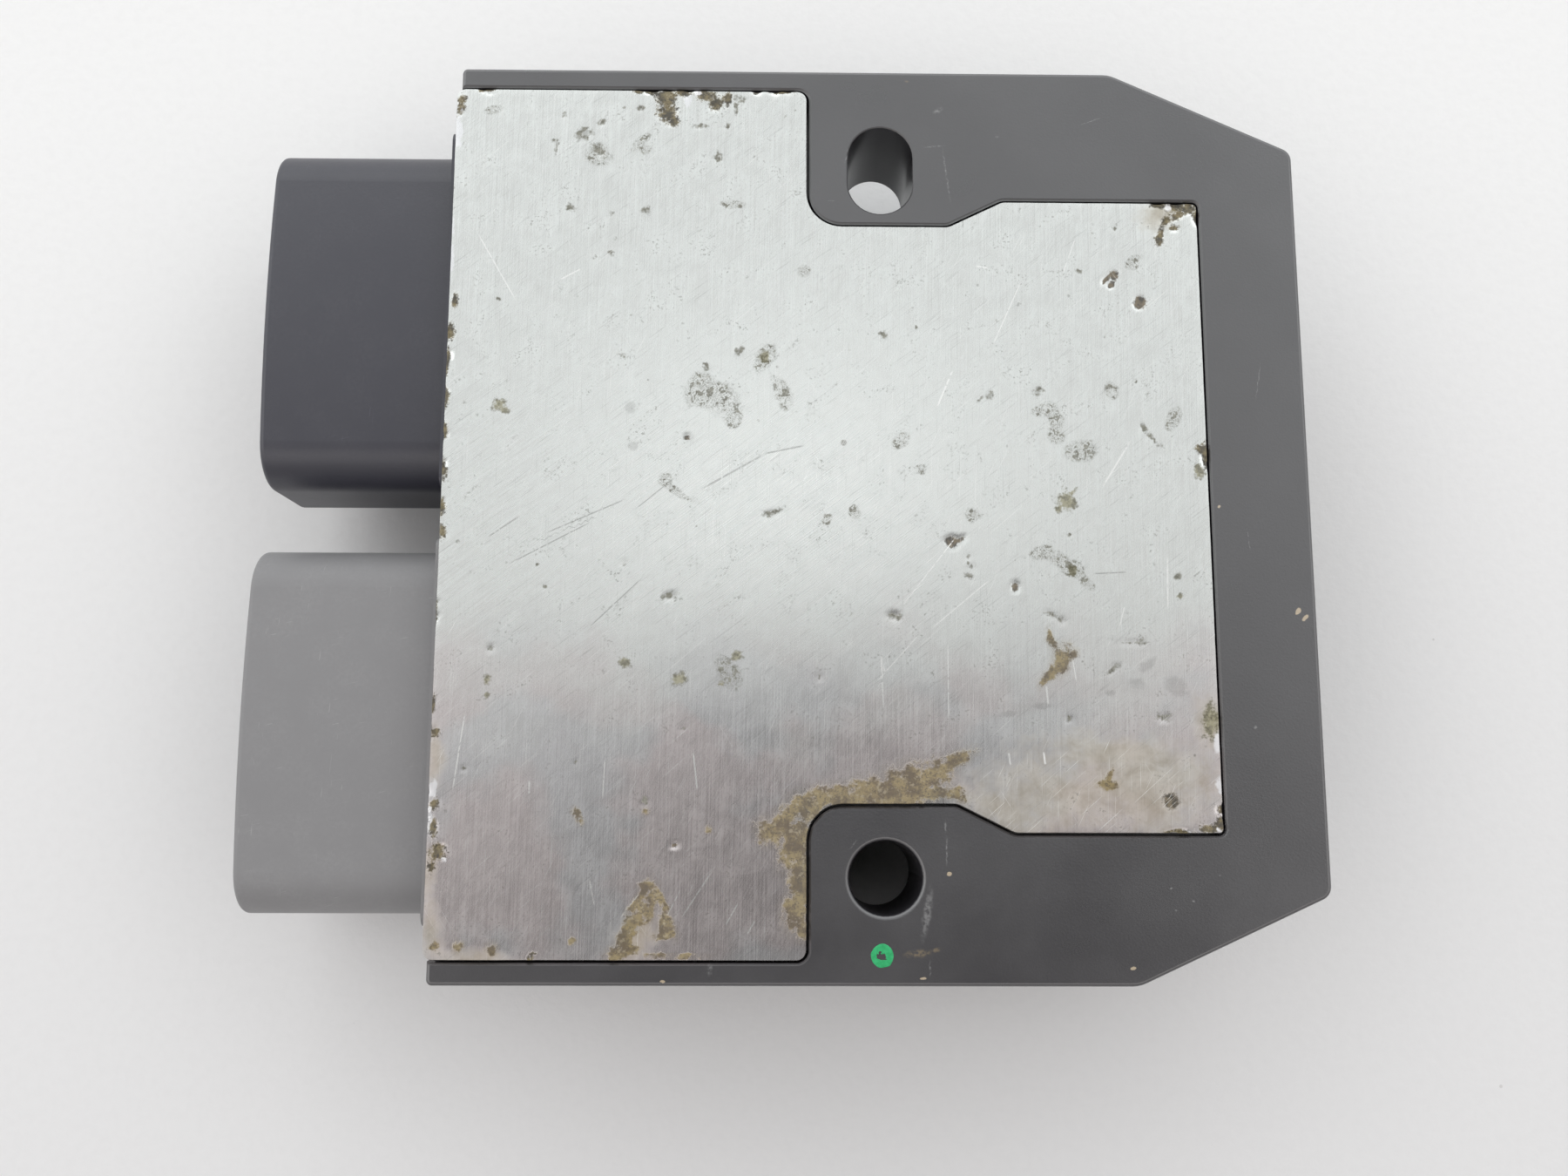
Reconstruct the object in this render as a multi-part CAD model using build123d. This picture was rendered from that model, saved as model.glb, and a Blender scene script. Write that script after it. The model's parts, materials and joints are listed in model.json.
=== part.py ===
from build123d import *
import os

# Solid state relay module: a moulded housing closed on its mounting side by an aluminium base plate,
# with a black and a grey twelve-way plug header side by side on one end.
# Frame: +Z is the outward side of the base plate, +X points from the headers to the far end,
# the lid face lies on Z = 0, and the origin is under the middle of the whole module. Millimetres.

# ---- driving dimensions ----
MODULE_LENGTH = 98.2          # header mouths to far end, along X
MODULE_WIDTH = 85.0           # along Y
BASE_Z = 26.0                 # height of the housing's mounting face above the lid face

FAR_X = MODULE_LENGTH / 2
MOUTH_X = -MODULE_LENGTH / 2
HALF_WIDTH = MODULE_WIDTH / 2
WALL_X = -30.05               # outer face of the header wall

# housing
CHAMFER_X = 31.9              # where the far corners start to be cut off
CHAMFER_Y = 34.73             # where the cut meets the far end
EAR_THICKNESS = 11.65         # mounting frame, measured down from the mounting face
EAR_Z = BASE_Z - EAR_THICKNESS
BODY_HALF_WIDTH = 41.3
BODY_WAIST = 25.2             # half width of the body between the two bolt recesses
BODY_NECK_X = (1.8, 18.6)     # the recesses' end walls
BODY_TAIL_HALF_WIDTH = 30.0
BODY_FAR_X = 40.4
WELL_WALL = 2.2               # walls that close the round hole's bolt recess
WELL_BOTTOM_Z = 1.0           # they stop this far above the lid face
LID_EDGE_ROUND = 1.6
LID_WALL = 2.4
CAVITY_X = (-27.55, -0.8, 21.2, 37.7)
CAVITY_HALF_WIDTHS = (38.3, 23.0, 27.3)
BOARD_POST_RADIUS = 1.5

# mounting holes
HOLE_X = 9.82
HOLE_Y = 33.28                # centre of the round hole, on the -Y side
HOLE_RADIUS = 3.2
HOLE_ROUND = 0.42
SLOT_Y = 32.46                # centre of the slot, on the +Y side
SLOT_RADIUS = 3.09
SLOT_CENTRES = 2.5            # distance between the slot's end arcs
SLOT_BEVEL = 0.1

# base plate
PLATE_THICKNESS = 3.0
PLATE_PROUD = 0.1             # it stands this far above the mounting face
PLATE_TOP = BASE_Z + PLATE_PROUD
PLATE_BOTTOM = PLATE_TOP - PLATE_THICKNESS
PLATE_HALF = [(-30.45, 40.34), (2.86, 40.34), (2.86, 26.85), (16.2, 26.85), (21.3, 29.36), (39.73, 29.36)]
PLATE_BOSS_RADIUS = 3.3       # inside corner of the plate's notches
PLATE_CORNER_RADIUS = 0.9
PLATE_EDGE_BEVEL = 0.1
POCKET_GAP = 0.22             # plate edge to pocket wall
POCKET_BEVEL = 0.2
SEALANT_THICKNESS = 0.4
LEDGE_Z = PLATE_BOTTOM - SEALANT_THICKNESS

# plug headers
HEADER_Y = 20.1               # centre lines at plus and minus this
HEADER_Z = 13.3
SHROUD_HALF_WIDTH = 17.05
SHROUD_HALF_HEIGHT = 8.6
SHROUD_CROWN = 1.08           # rise of the long sides at their middle
SHROUD_CORNER = 4.4
SHROUD_WALL = 1.7
SOCKET_FLOOR_X = -33.5
FLANGE_HALF_WIDTH = 17.75
FLANGE_BOTTOM_Z = 3.8
FLANGE_TOP_Z = 22.8
FLANGE_X = (-31.5, -30.3)
NECK_HALF_WIDTH = 16.4
NECK_BOTTOM_Z = 5.3
HEADER_BACK_X = -25.6
HEADER_BACK_HALF_WIDTH = 17.4
HEADER_BACK_Z = (4.0, 22.4)
NECK_CLEARANCE = 0.1

# header pins: two rows of six in each header
PIN_RADIUS = 0.5
PIN_COLUMNS = 6
PIN_PITCH = 4.3
PIN_ROW_SPACING = 5.0
PIN_TIP_X = -42.5
PIN_TAPER = 1.0
PIN_BEND_RADIUS = 1.4
PIN_BOARD_X = {1: -21.5, -1: -17.5}   # upper and lower row, where they turn up to the board
PIN_HOLE_CLEARANCE = 0.03

# electronics
BOARD_THICKNESS = 1.6
PAD_THICKNESS = 0.5
BOARD_TOP = PLATE_BOTTOM - PAD_THICKNESS
BOARD_FACE = BOARD_TOP - BOARD_THICKNESS
BOARD_HALF = [(-24.6, 37.0), (-1.6, 37.0), (-1.6, 22.2), (22.0, 22.2), (22.0, 26.5), (36.9, 26.5)]
PAD_HALF = [(-14.5, 35.5), (-3.1, 35.5), (-3.1, 20.7), (23.5, 20.7), (23.5, 25.0), (35.4, 25.0)]
TRANSISTOR_YS = (-18.9, -6.3, 6.3, 18.9)

# rating label on the lid face
LABEL_SIZE = (44.0, 30.0)
LABEL_X = -5.0
LABEL_RECESS = 0.35
LABEL_THICKNESS = 0.15


# ---- helpers ----
def mirrored_face(half):
    """Flat face from the upper half of an outline, listed left to right, and its mirror image in Y."""
    lower = [(x, -y) for x, y in reversed(half)]
    return make_face(Polyline(*half, *lower, close=True))


def round_corner(face, corner, radius):
    """Round the outline's corner at (x, y) together with its mirror image at (x, -y)."""
    picked = [v for v in face.vertices() if abs(v.X - corner[0]) < 0.01 and abs(abs(v.Y) - corner[1]) < 0.01]
    return fillet(picked, radius)


def prism(face, low, high):
    """Solid between two heights."""
    return extrude(Pos(0, 0, low) * face, amount=high - low)


def block(x_range, y_range, z_range):
    """Box between three pairs of limits."""
    sizes = [high - low for low, high in (x_range, y_range, z_range)]
    middles = [(high + low) / 2 for low, high in (x_range, y_range, z_range)]
    return Pos(*middles) * Box(*sizes)


def across(face, x_low, x_high):
    """Solid along X from a face drawn with its local X along Y and its local Y along Z."""
    return extrude(Plane(origin=(x_low, 0, 0), x_dir=(0, 1, 0), z_dir=(1, 0, 0)) * face, amount=x_high - x_low)


def chip(x, y, size, z_top=BOARD_FACE):
    """Chip package hanging from the board's lid side, with its far edges bevelled."""
    body = Pos(x, y, z_top - size[2] / 2) * Box(*size)
    return chamfer(body.edges().group_by(Axis.Z)[0], 0.12 * size[2])


# ---- housing ----
def frame_outline():
    face = mirrored_face([(WALL_X, HALF_WIDTH), (CHAMFER_X, HALF_WIDTH), (FAR_X, CHAMFER_Y)])
    face = round_corner(face, (CHAMFER_X, HALF_WIDTH), 3.0)
    face = round_corner(face, (FAR_X, CHAMFER_Y), 1.3)
    return round_corner(face, (WALL_X, HALF_WIDTH), 0.5)


def body_outline():
    x_recess, x_tail = BODY_NECK_X
    face = mirrored_face([
        (WALL_X, BODY_HALF_WIDTH), (x_recess, BODY_HALF_WIDTH), (x_recess, BODY_WAIST),
        (x_tail, BODY_WAIST), (x_tail, BODY_TAIL_HALF_WIDTH), (BODY_FAR_X, BODY_TAIL_HALF_WIDTH),
    ])
    face = round_corner(face, (x_recess, BODY_HALF_WIDTH), 3.0)
    face = round_corner(face, (x_recess, BODY_WAIST), 4.5)
    face = round_corner(face, (x_tail, BODY_WAIST), 2.0)
    face = round_corner(face, (x_tail, BODY_TAIL_HALF_WIDTH), 2.0)
    return round_corner(face, (BODY_FAR_X, BODY_TAIL_HALF_WIDTH), 3.5)


def well_outline():
    """Walls that close the recess under the round hole towards -Y and +X; the slot's recess stays open."""
    x_recess, x_tail = BODY_NECK_X
    outer = -BODY_HALF_WIDTH
    inside = -BODY_TAIL_HALF_WIDTH + 2
    corners = [
        (x_recess - 3, outer), (x_tail + WELL_WALL, outer), (x_tail + WELL_WALL, inside),
        (x_tail, inside), (x_tail, outer + WELL_WALL), (x_recess - 3, outer + WELL_WALL),
    ]
    return make_face(Polyline(*corners, close=True))


def cavity_outline():
    x_wall, x_waist, x_tail, x_far = CAVITY_X
    wide, waist, tail = CAVITY_HALF_WIDTHS
    face = mirrored_face([
        (x_wall, wide), (x_waist, wide), (x_waist, waist), (x_tail, waist), (x_tail, tail), (x_far, tail),
    ])
    face = round_corner(face, (x_waist, wide), 1.5)
    face = round_corner(face, (x_waist, waist), 2.0)
    return round_corner(face, (x_far, tail), 2.0)


def plate_outline():
    face = mirrored_face(PLATE_HALF)
    left, step, notch, ramp_low, ramp_high, far = PLATE_HALF
    face = round_corner(face, left, PLATE_CORNER_RADIUS)
    face = round_corner(face, step, PLATE_CORNER_RADIUS)
    face = round_corner(face, notch, PLATE_BOSS_RADIUS)
    face = round_corner(face, ramp_low, 1.5)
    face = round_corner(face, ramp_high, 1.5)
    return round_corner(face, far, 0.4)


def coring_pockets():
    """Blind pockets on the lid side that keep the thick mounting frame at an even wall."""
    depth = (EAR_Z - 1, BASE_Z - 3.0)
    pockets = []
    for index in range(-3, 4):
        middle = index * 9.3
        pockets.append(block((42.5, 46.9), (middle - 3.75, middle + 3.75), depth))
    for side in (-1, 1):
        for x_low in (21.2, 29.4):
            y_range = sorted((side * 32.0, side * 37.4))
            pockets.append(block((x_low, x_low + 6.4), y_range, depth))
    return [fillet(pocket.edges().filter_by(Axis.Z), 0.8) for pocket in pockets]


def header_notches():
    """Slots in the header wall, open towards the base plate, that the headers' necks drop into."""
    width = 2 * (NECK_HALF_WIDTH + NECK_CLEARANCE)
    bottom = NECK_BOTTOM_Z - NECK_CLEARANCE
    notches = []
    for side in (-1, 1):
        middle = side * HEADER_Y
        cut = block((WALL_X - 2, CAVITY_X[0] + 1), (middle - width / 2, middle + width / 2), (bottom, BASE_Z))
        notches.append(fillet(cut.edges().filter_by(Axis.X).group_by(Axis.Z)[0], 3.0))
    return notches


def mounting_holes():
    """Round hole on the -Y side, and on the +Y side a slot that is long across the module."""
    middle = (EAR_Z + BASE_Z) / 2
    through = EAR_THICKNESS + 2
    round_hole = Pos(HOLE_X, -HOLE_Y, middle) * Cylinder(HOLE_RADIUS, through)
    slot = Pos(HOLE_X, SLOT_Y, EAR_Z - 1) * Rot(0, 0, 90) * SlotCenterToCenter(SLOT_CENTRES, 2 * SLOT_RADIUS)
    return round_hole, extrude(slot, amount=through)


def slot_bevel():
    """Funnel that bevels the slot where it meets the mounting face."""
    mouth = Rot(0, 0, 90) * SlotCenterToCenter(SLOT_CENTRES, 2 * (SLOT_RADIUS + SLOT_BEVEL))
    throat = Rot(0, 0, 90) * SlotCenterToCenter(SLOT_CENTRES, 2 * SLOT_RADIUS)
    return loft([Pos(HOLE_X, SLOT_Y, BASE_Z - SLOT_BEVEL) * throat, Pos(HOLE_X, SLOT_Y, BASE_Z) * mouth])


def plate_pocket():
    """Pocket that takes the base plate, bevelled at the mounting face."""
    outline = offset(plate_outline(), POCKET_GAP, kind=Kind.ARC)
    rim = extrude(Pos(0, 0, BASE_Z - POCKET_BEVEL) * outline, amount=2 * POCKET_BEVEL, taper=-45)
    return prism(outline, LEDGE_Z, BASE_Z + 1) + rim


def round_hole_rim(shell):
    """The housing with the round hole's edge rounded where it meets the mounting face."""
    rings = shell.edges().filter_by(GeomType.CIRCLE).group_by(Axis.Z)[-1]
    rim = [ring for ring in rings if abs(ring.radius - HOLE_RADIUS) < 0.01 and ring.center().Y < -HOLE_Y + 1]
    return fillet(rim, HOLE_ROUND)


def lid_marks():
    """Shallow round ejector marks and the label's recess on the lid face."""
    spots = [(-24.0, 34.0), (-5.0, 34.0), (34.0, 22.0), (34.0, 0.0)]
    spots += [(x, -y) for x, y in spots if y > 0]
    marks = [Pos(x, y, 0) * Cylinder(3.0, 0.3) for x, y in spots]
    recess = Pos(LABEL_X, 0, 0) * Box(*LABEL_SIZE, 2 * LABEL_RECESS)
    marks.append(fillet(recess.edges().filter_by(Axis.Z), 1.5))
    return marks


def board_posts():
    """Moulded posts that press the board and its pad against the base plate."""
    places = [(-14.5, 35.0), (-14.5, -35.0), (35.0, 24.6), (35.0, -24.6)]
    height = BOARD_FACE - LID_WALL
    return [Pos(x, y, LID_WALL + height / 2) * Cylinder(BOARD_POST_RADIUS, height) for x, y in places]


def housing():
    frame = prism(frame_outline(), EAR_Z, BASE_Z)
    frame = fillet(frame.edges().group_by(Axis.Z)[-1], 0.35)
    frame = fillet(frame.edges().group_by(Axis.Z)[0], 0.9)
    body = prism(body_outline(), 0, EAR_Z + 1)
    body = fillet(body.edges().group_by(Axis.Z)[0], LID_EDGE_ROUND)
    well = prism(well_outline(), WELL_BOTTOM_Z, EAR_Z + 1)
    well = fillet(well.edges().filter_by(Axis.Z).sort_by(Axis.Y)[:2].sort_by(Axis.X)[-1], 2.0)
    shell = frame + body + chamfer(well.edges().group_by(Axis.Z)[0], 0.4)
    shell -= plate_pocket()
    shell -= prism(cavity_outline(), LID_WALL, BASE_Z)
    for cut in [*header_notches(), *mounting_holes(), slot_bevel(), *coring_pockets(), *lid_marks()]:
        shell -= cut
    shell = round_hole_rim(shell)
    for post in board_posts():
        shell += post
    return shell


# ---- base plate and what seals and cools it ----
def base_plate():
    plate = prism(plate_outline(), PLATE_BOTTOM, PLATE_TOP)
    return chamfer(plate.edges().group_by(Axis.Z)[-1], PLATE_EDGE_BEVEL)


def plate_sealant():
    ring = offset(plate_outline(), -0.6, kind=Kind.ARC) - offset(cavity_outline(), 0.3, kind=Kind.ARC)
    return prism(ring, LEDGE_Z, PLATE_BOTTOM)


def thermal_pad():
    return prism(mirrored_face(PAD_HALF), BOARD_TOP, PLATE_BOTTOM)


# ---- plug headers ----
def shroud_face(inset):
    """Rounded rectangle with crowned long sides, drawn inset from the shroud's outside."""
    width = SHROUD_HALF_WIDTH - inset
    height = SHROUD_HALF_HEIGHT - inset
    side = height - SHROUD_CROWN
    outline = [
        ThreePointArc((-width, side), (0, height), (width, side)),
        Line((width, side), (width, -side)),
        ThreePointArc((width, -side), (0, -height), (-width, -side)),
        Line((-width, -side), (-width, side)),
    ]
    return fillet(make_face(outline).vertices(), SHROUD_CORNER - inset)


def pin_places():
    """(row, y offset) of every pin in one header."""
    first = -(PIN_COLUMNS - 1) / 2 * PIN_PITCH
    return [(row, first + column * PIN_PITCH) for row in (1, -1) for column in range(PIN_COLUMNS)]


def header(middle, key_offsets):
    """One header: shroud, flange outside the wall, neck in its notch and a shoulder inside."""
    centre = Pos(middle, HEADER_Z)
    outside = across(centre * shroud_face(0), MOUTH_X, FLANGE_X[0])
    outside = fillet(outside.edges().group_by(Axis.X)[0], 0.5)
    socket = across(centre * shroud_face(SHROUD_WALL), MOUTH_X - 1, SOCKET_FLOOR_X)
    flange = block(FLANGE_X, (middle - FLANGE_HALF_WIDTH, middle + FLANGE_HALF_WIDTH), (FLANGE_BOTTOM_Z, FLANGE_TOP_Z))
    flange = fillet(flange.edges().filter_by(Axis.X), 1.2)
    neck_x = (FLANGE_X[1], CAVITY_X[0])
    neck = block(neck_x, (middle - NECK_HALF_WIDTH, middle + NECK_HALF_WIDTH), (NECK_BOTTOM_Z, LEDGE_Z))
    neck = fillet(neck.edges().filter_by(Axis.X).group_by(Axis.Z)[0], 3.0)
    back_y = (middle - HEADER_BACK_HALF_WIDTH, middle + HEADER_BACK_HALF_WIDTH)
    back = block((CAVITY_X[0], HEADER_BACK_X), back_y, HEADER_BACK_Z)
    shell = outside + flange + neck + back - socket
    key_x = (MOUTH_X + 1.5, SOCKET_FLOOR_X)
    roof = HEADER_Z + SHROUD_HALF_HEIGHT - SHROUD_WALL
    for offset_y in key_offsets:
        key_y = middle + offset_y
        shell += block(key_x, (key_y - 0.6, key_y + 0.6), (roof - 1.1, roof + 0.3))
    for side in (-1, 1):
        wall_y = middle + side * (SHROUD_HALF_WIDTH - SHROUD_WALL)
        shell -= block((MOUTH_X + 3.0, MOUTH_X + 6.0), (wall_y - 0.7, wall_y + 0.7), (HEADER_Z - 2.5, HEADER_Z + 2.5))
    hole_length = HEADER_BACK_X - SOCKET_FLOOR_X + 2
    for row, y in pin_places():
        place = Pos((SOCKET_FLOOR_X + HEADER_BACK_X) / 2, middle + y, HEADER_Z + row * PIN_ROW_SPACING / 2)
        shell -= place * Rot(0, 90, 0) * Cylinder(PIN_RADIUS + PIN_HOLE_CLEARANCE, hole_length)
    return shell


def header_pin(y, row):
    """Round pin with a tapered tip, running back through the header and turning up to the board."""
    z = HEADER_Z + row * PIN_ROW_SPACING / 2
    bend_x = PIN_BOARD_X[row]
    start_x = PIN_TIP_X + PIN_TAPER
    path = FilletPolyline((start_x, y, z), (bend_x, y, z), (bend_x, y, BOARD_TOP), radius=PIN_BEND_RADIUS)
    shank = sweep(Plane(origin=path @ 0, z_dir=path % 0) * Circle(PIN_RADIUS), path=path)
    tip = Pos(start_x - PIN_TAPER / 2, y, z) * Rot(0, 90, 0) * Cone(0.5 * PIN_RADIUS, PIN_RADIUS, PIN_TAPER)
    return shank + tip


def header_pins(middle):
    return [header_pin(middle + y, row) for row, y in pin_places()]


def flange_gasket(middle):
    """U-shaped gasket between the header's flange and the wall."""
    gasket_x = (FLANGE_X[1], WALL_X)
    width = FLANGE_HALF_WIDTH - 0.4
    inside = NECK_HALF_WIDTH + 0.3
    sheet = block(gasket_x, (middle - width, middle + width), (FLANGE_BOTTOM_Z + 0.3, LEDGE_Z - 0.2))
    return sheet - block(gasket_x, (middle - inside, middle + inside), (NECK_BOTTOM_Z - 0.3, BASE_Z))


# ---- electronics ----
def circuit_board():
    board = prism(mirrored_face(BOARD_HALF), BOARD_FACE, BOARD_TOP)
    middle_z = (BOARD_FACE + BOARD_TOP) / 2
    for header_y in (-HEADER_Y, HEADER_Y):
        for row, y in pin_places():
            place = Pos(PIN_BOARD_X[row], header_y + y, middle_z)
            board -= place * Cylinder(PIN_RADIUS + PIN_HOLE_CLEARANCE, 2 * BOARD_THICKNESS)
    return board


def power_transistors():
    return [chip(27.0, y, (9.2, 10.2, 4.4)) for y in TRANSISTOR_YS]


def transistor_tabs():
    """Each transistor's cooling tab on the far side and its two leads on the near side."""
    metal = []
    for y in TRANSISTOR_YS:
        metal.append(block((31.6, 33.1), (y - 4.8, y + 4.8), (BOARD_FACE - 1.3, BOARD_FACE)))
        for lead_y in (y - 2.54, y + 2.54):
            metal.append(block((20.0, 22.4), (lead_y - 0.4, lead_y + 0.4), (BOARD_FACE - 0.6, BOARD_FACE)))
    return metal


def chip_row(x, size):
    """Row of small chip components down the middle of the board."""
    return [chip(x, index * 3.6, size) for index in range(-5, 6)]


def electrolytic_capacitors():
    height = 10.5
    cans = [Pos(-8.5, y, BOARD_FACE - height / 2) * Cylinder(4.5, height) for y in (-31.5, 31.5)]
    return [fillet(can.edges().group_by(Axis.Z)[0], 0.6) for can in cans]


def inductor_core():
    """Drum core: two square flanges joined by a round post."""
    place = Pos(-8.5, 0, BOARD_FACE)
    near = place * Pos(0, 0, -0.6) * Box(12, 12, 1.2)
    far = place * Pos(0, 0, -5.4) * Box(12, 12, 1.2)
    return near + far + place * Pos(0, 0, -3) * Cylinder(2.6, 6)


def inductor_winding():
    coil = Cylinder(5.2, 3.4) - Cylinder(2.65, 3.4)
    return Pos(-8.5, 0, BOARD_FACE - 3.0) * coil


def rating_label():
    label = Pos(LABEL_X, 0, LABEL_RECESS - LABEL_THICKNESS / 2)
    sheet = label * Box(LABEL_SIZE[0] - 0.6, LABEL_SIZE[1] - 0.6, LABEL_THICKNESS)
    return fillet(sheet.edges().filter_by(Axis.Z), 1.2)


NODES = {
    "housing": [housing()],
    "base_plate": [base_plate()],
    "plate_sealant": [plate_sealant()],
    "black_header": [header(HEADER_Y, (-6.0, 9.5))],
    "grey_header": [header(-HEADER_Y, (-9.5, 6.0))],
    "black_header_pins": header_pins(HEADER_Y),
    "grey_header_pins": header_pins(-HEADER_Y),
    "black_header_gasket": [flange_gasket(HEADER_Y)],
    "grey_header_gasket": [flange_gasket(-HEADER_Y)],
    "thermal_pad": [thermal_pad()],
    "circuit_board": [circuit_board()],
    "power_transistors": power_transistors(),
    "transistor_tabs": transistor_tabs(),
    "gate_driver_chips": [chip(15.5, y, (4.0, 5.0, 1.6)) for y in (-15.0, -5.0, 5.0, 15.0)],
    "microcontroller": [chip(5.0, 0, (10.0, 10.0, 1.4))],
    "crystal": [chip(5.0, 9.2, (5.0, 3.2, 1.2))],
    "voltage_regulator": [chip(5.0, -11.0, (6.6, 6.1, 2.3))],
    "surge_suppressors": [chip(5.0, y, (7.0, 5.9, 2.4)) for y in (-18.4, 18.4)],
    "opto_isolators": [chip(-9.0, y, (6.5, 4.6, 3.5)) for y in (-21.0, -13.5, 13.5, 21.0)],
    "shunt_resistors": [chip(35.1, y, (3.2, 6.4, 0.8)) for y in (-12.6, 12.6)],
    "electrolytic_capacitors": electrolytic_capacitors(),
    "inductor_core": [inductor_core()],
    "inductor_winding": [inductor_winding()],
    "ceramic_capacitors": chip_row(11.6, (1.25, 2.0, 0.9)),
    "chip_resistors": chip_row(-1.1, (1.25, 2.0, 0.5)),
    "rating_label": [rating_label()],
}

os.makedirs("parts", exist_ok=True)
for node, solids in NODES.items():
    export_step(solids[0] if len(solids) == 1 else Compound(children=solids), f"parts/{node}.step")
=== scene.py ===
import json
import math

import bmesh
import bpy
import numpy as np
from mathutils import Matrix, Vector, geometry, noise

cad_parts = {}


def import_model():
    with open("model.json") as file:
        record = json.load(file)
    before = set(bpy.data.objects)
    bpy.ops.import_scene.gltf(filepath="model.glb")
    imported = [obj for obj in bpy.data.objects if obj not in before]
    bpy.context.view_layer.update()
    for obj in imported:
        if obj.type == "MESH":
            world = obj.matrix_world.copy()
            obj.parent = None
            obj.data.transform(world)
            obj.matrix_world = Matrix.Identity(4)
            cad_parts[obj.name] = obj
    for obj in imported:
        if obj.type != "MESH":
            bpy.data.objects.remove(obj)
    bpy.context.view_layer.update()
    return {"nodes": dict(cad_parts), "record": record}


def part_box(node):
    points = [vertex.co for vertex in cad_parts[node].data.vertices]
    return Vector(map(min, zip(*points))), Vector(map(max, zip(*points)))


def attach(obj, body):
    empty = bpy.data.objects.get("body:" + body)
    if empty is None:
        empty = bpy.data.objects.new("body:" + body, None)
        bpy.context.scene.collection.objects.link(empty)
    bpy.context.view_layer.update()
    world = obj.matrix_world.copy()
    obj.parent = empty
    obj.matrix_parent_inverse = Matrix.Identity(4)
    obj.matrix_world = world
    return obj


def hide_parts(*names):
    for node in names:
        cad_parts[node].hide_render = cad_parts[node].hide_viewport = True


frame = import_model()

MM = 0.001
BASE_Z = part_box("housing")[1][2]          # the housing's mounting face, which looks at the camera
FLOOR_SIZE = 1.6


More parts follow.
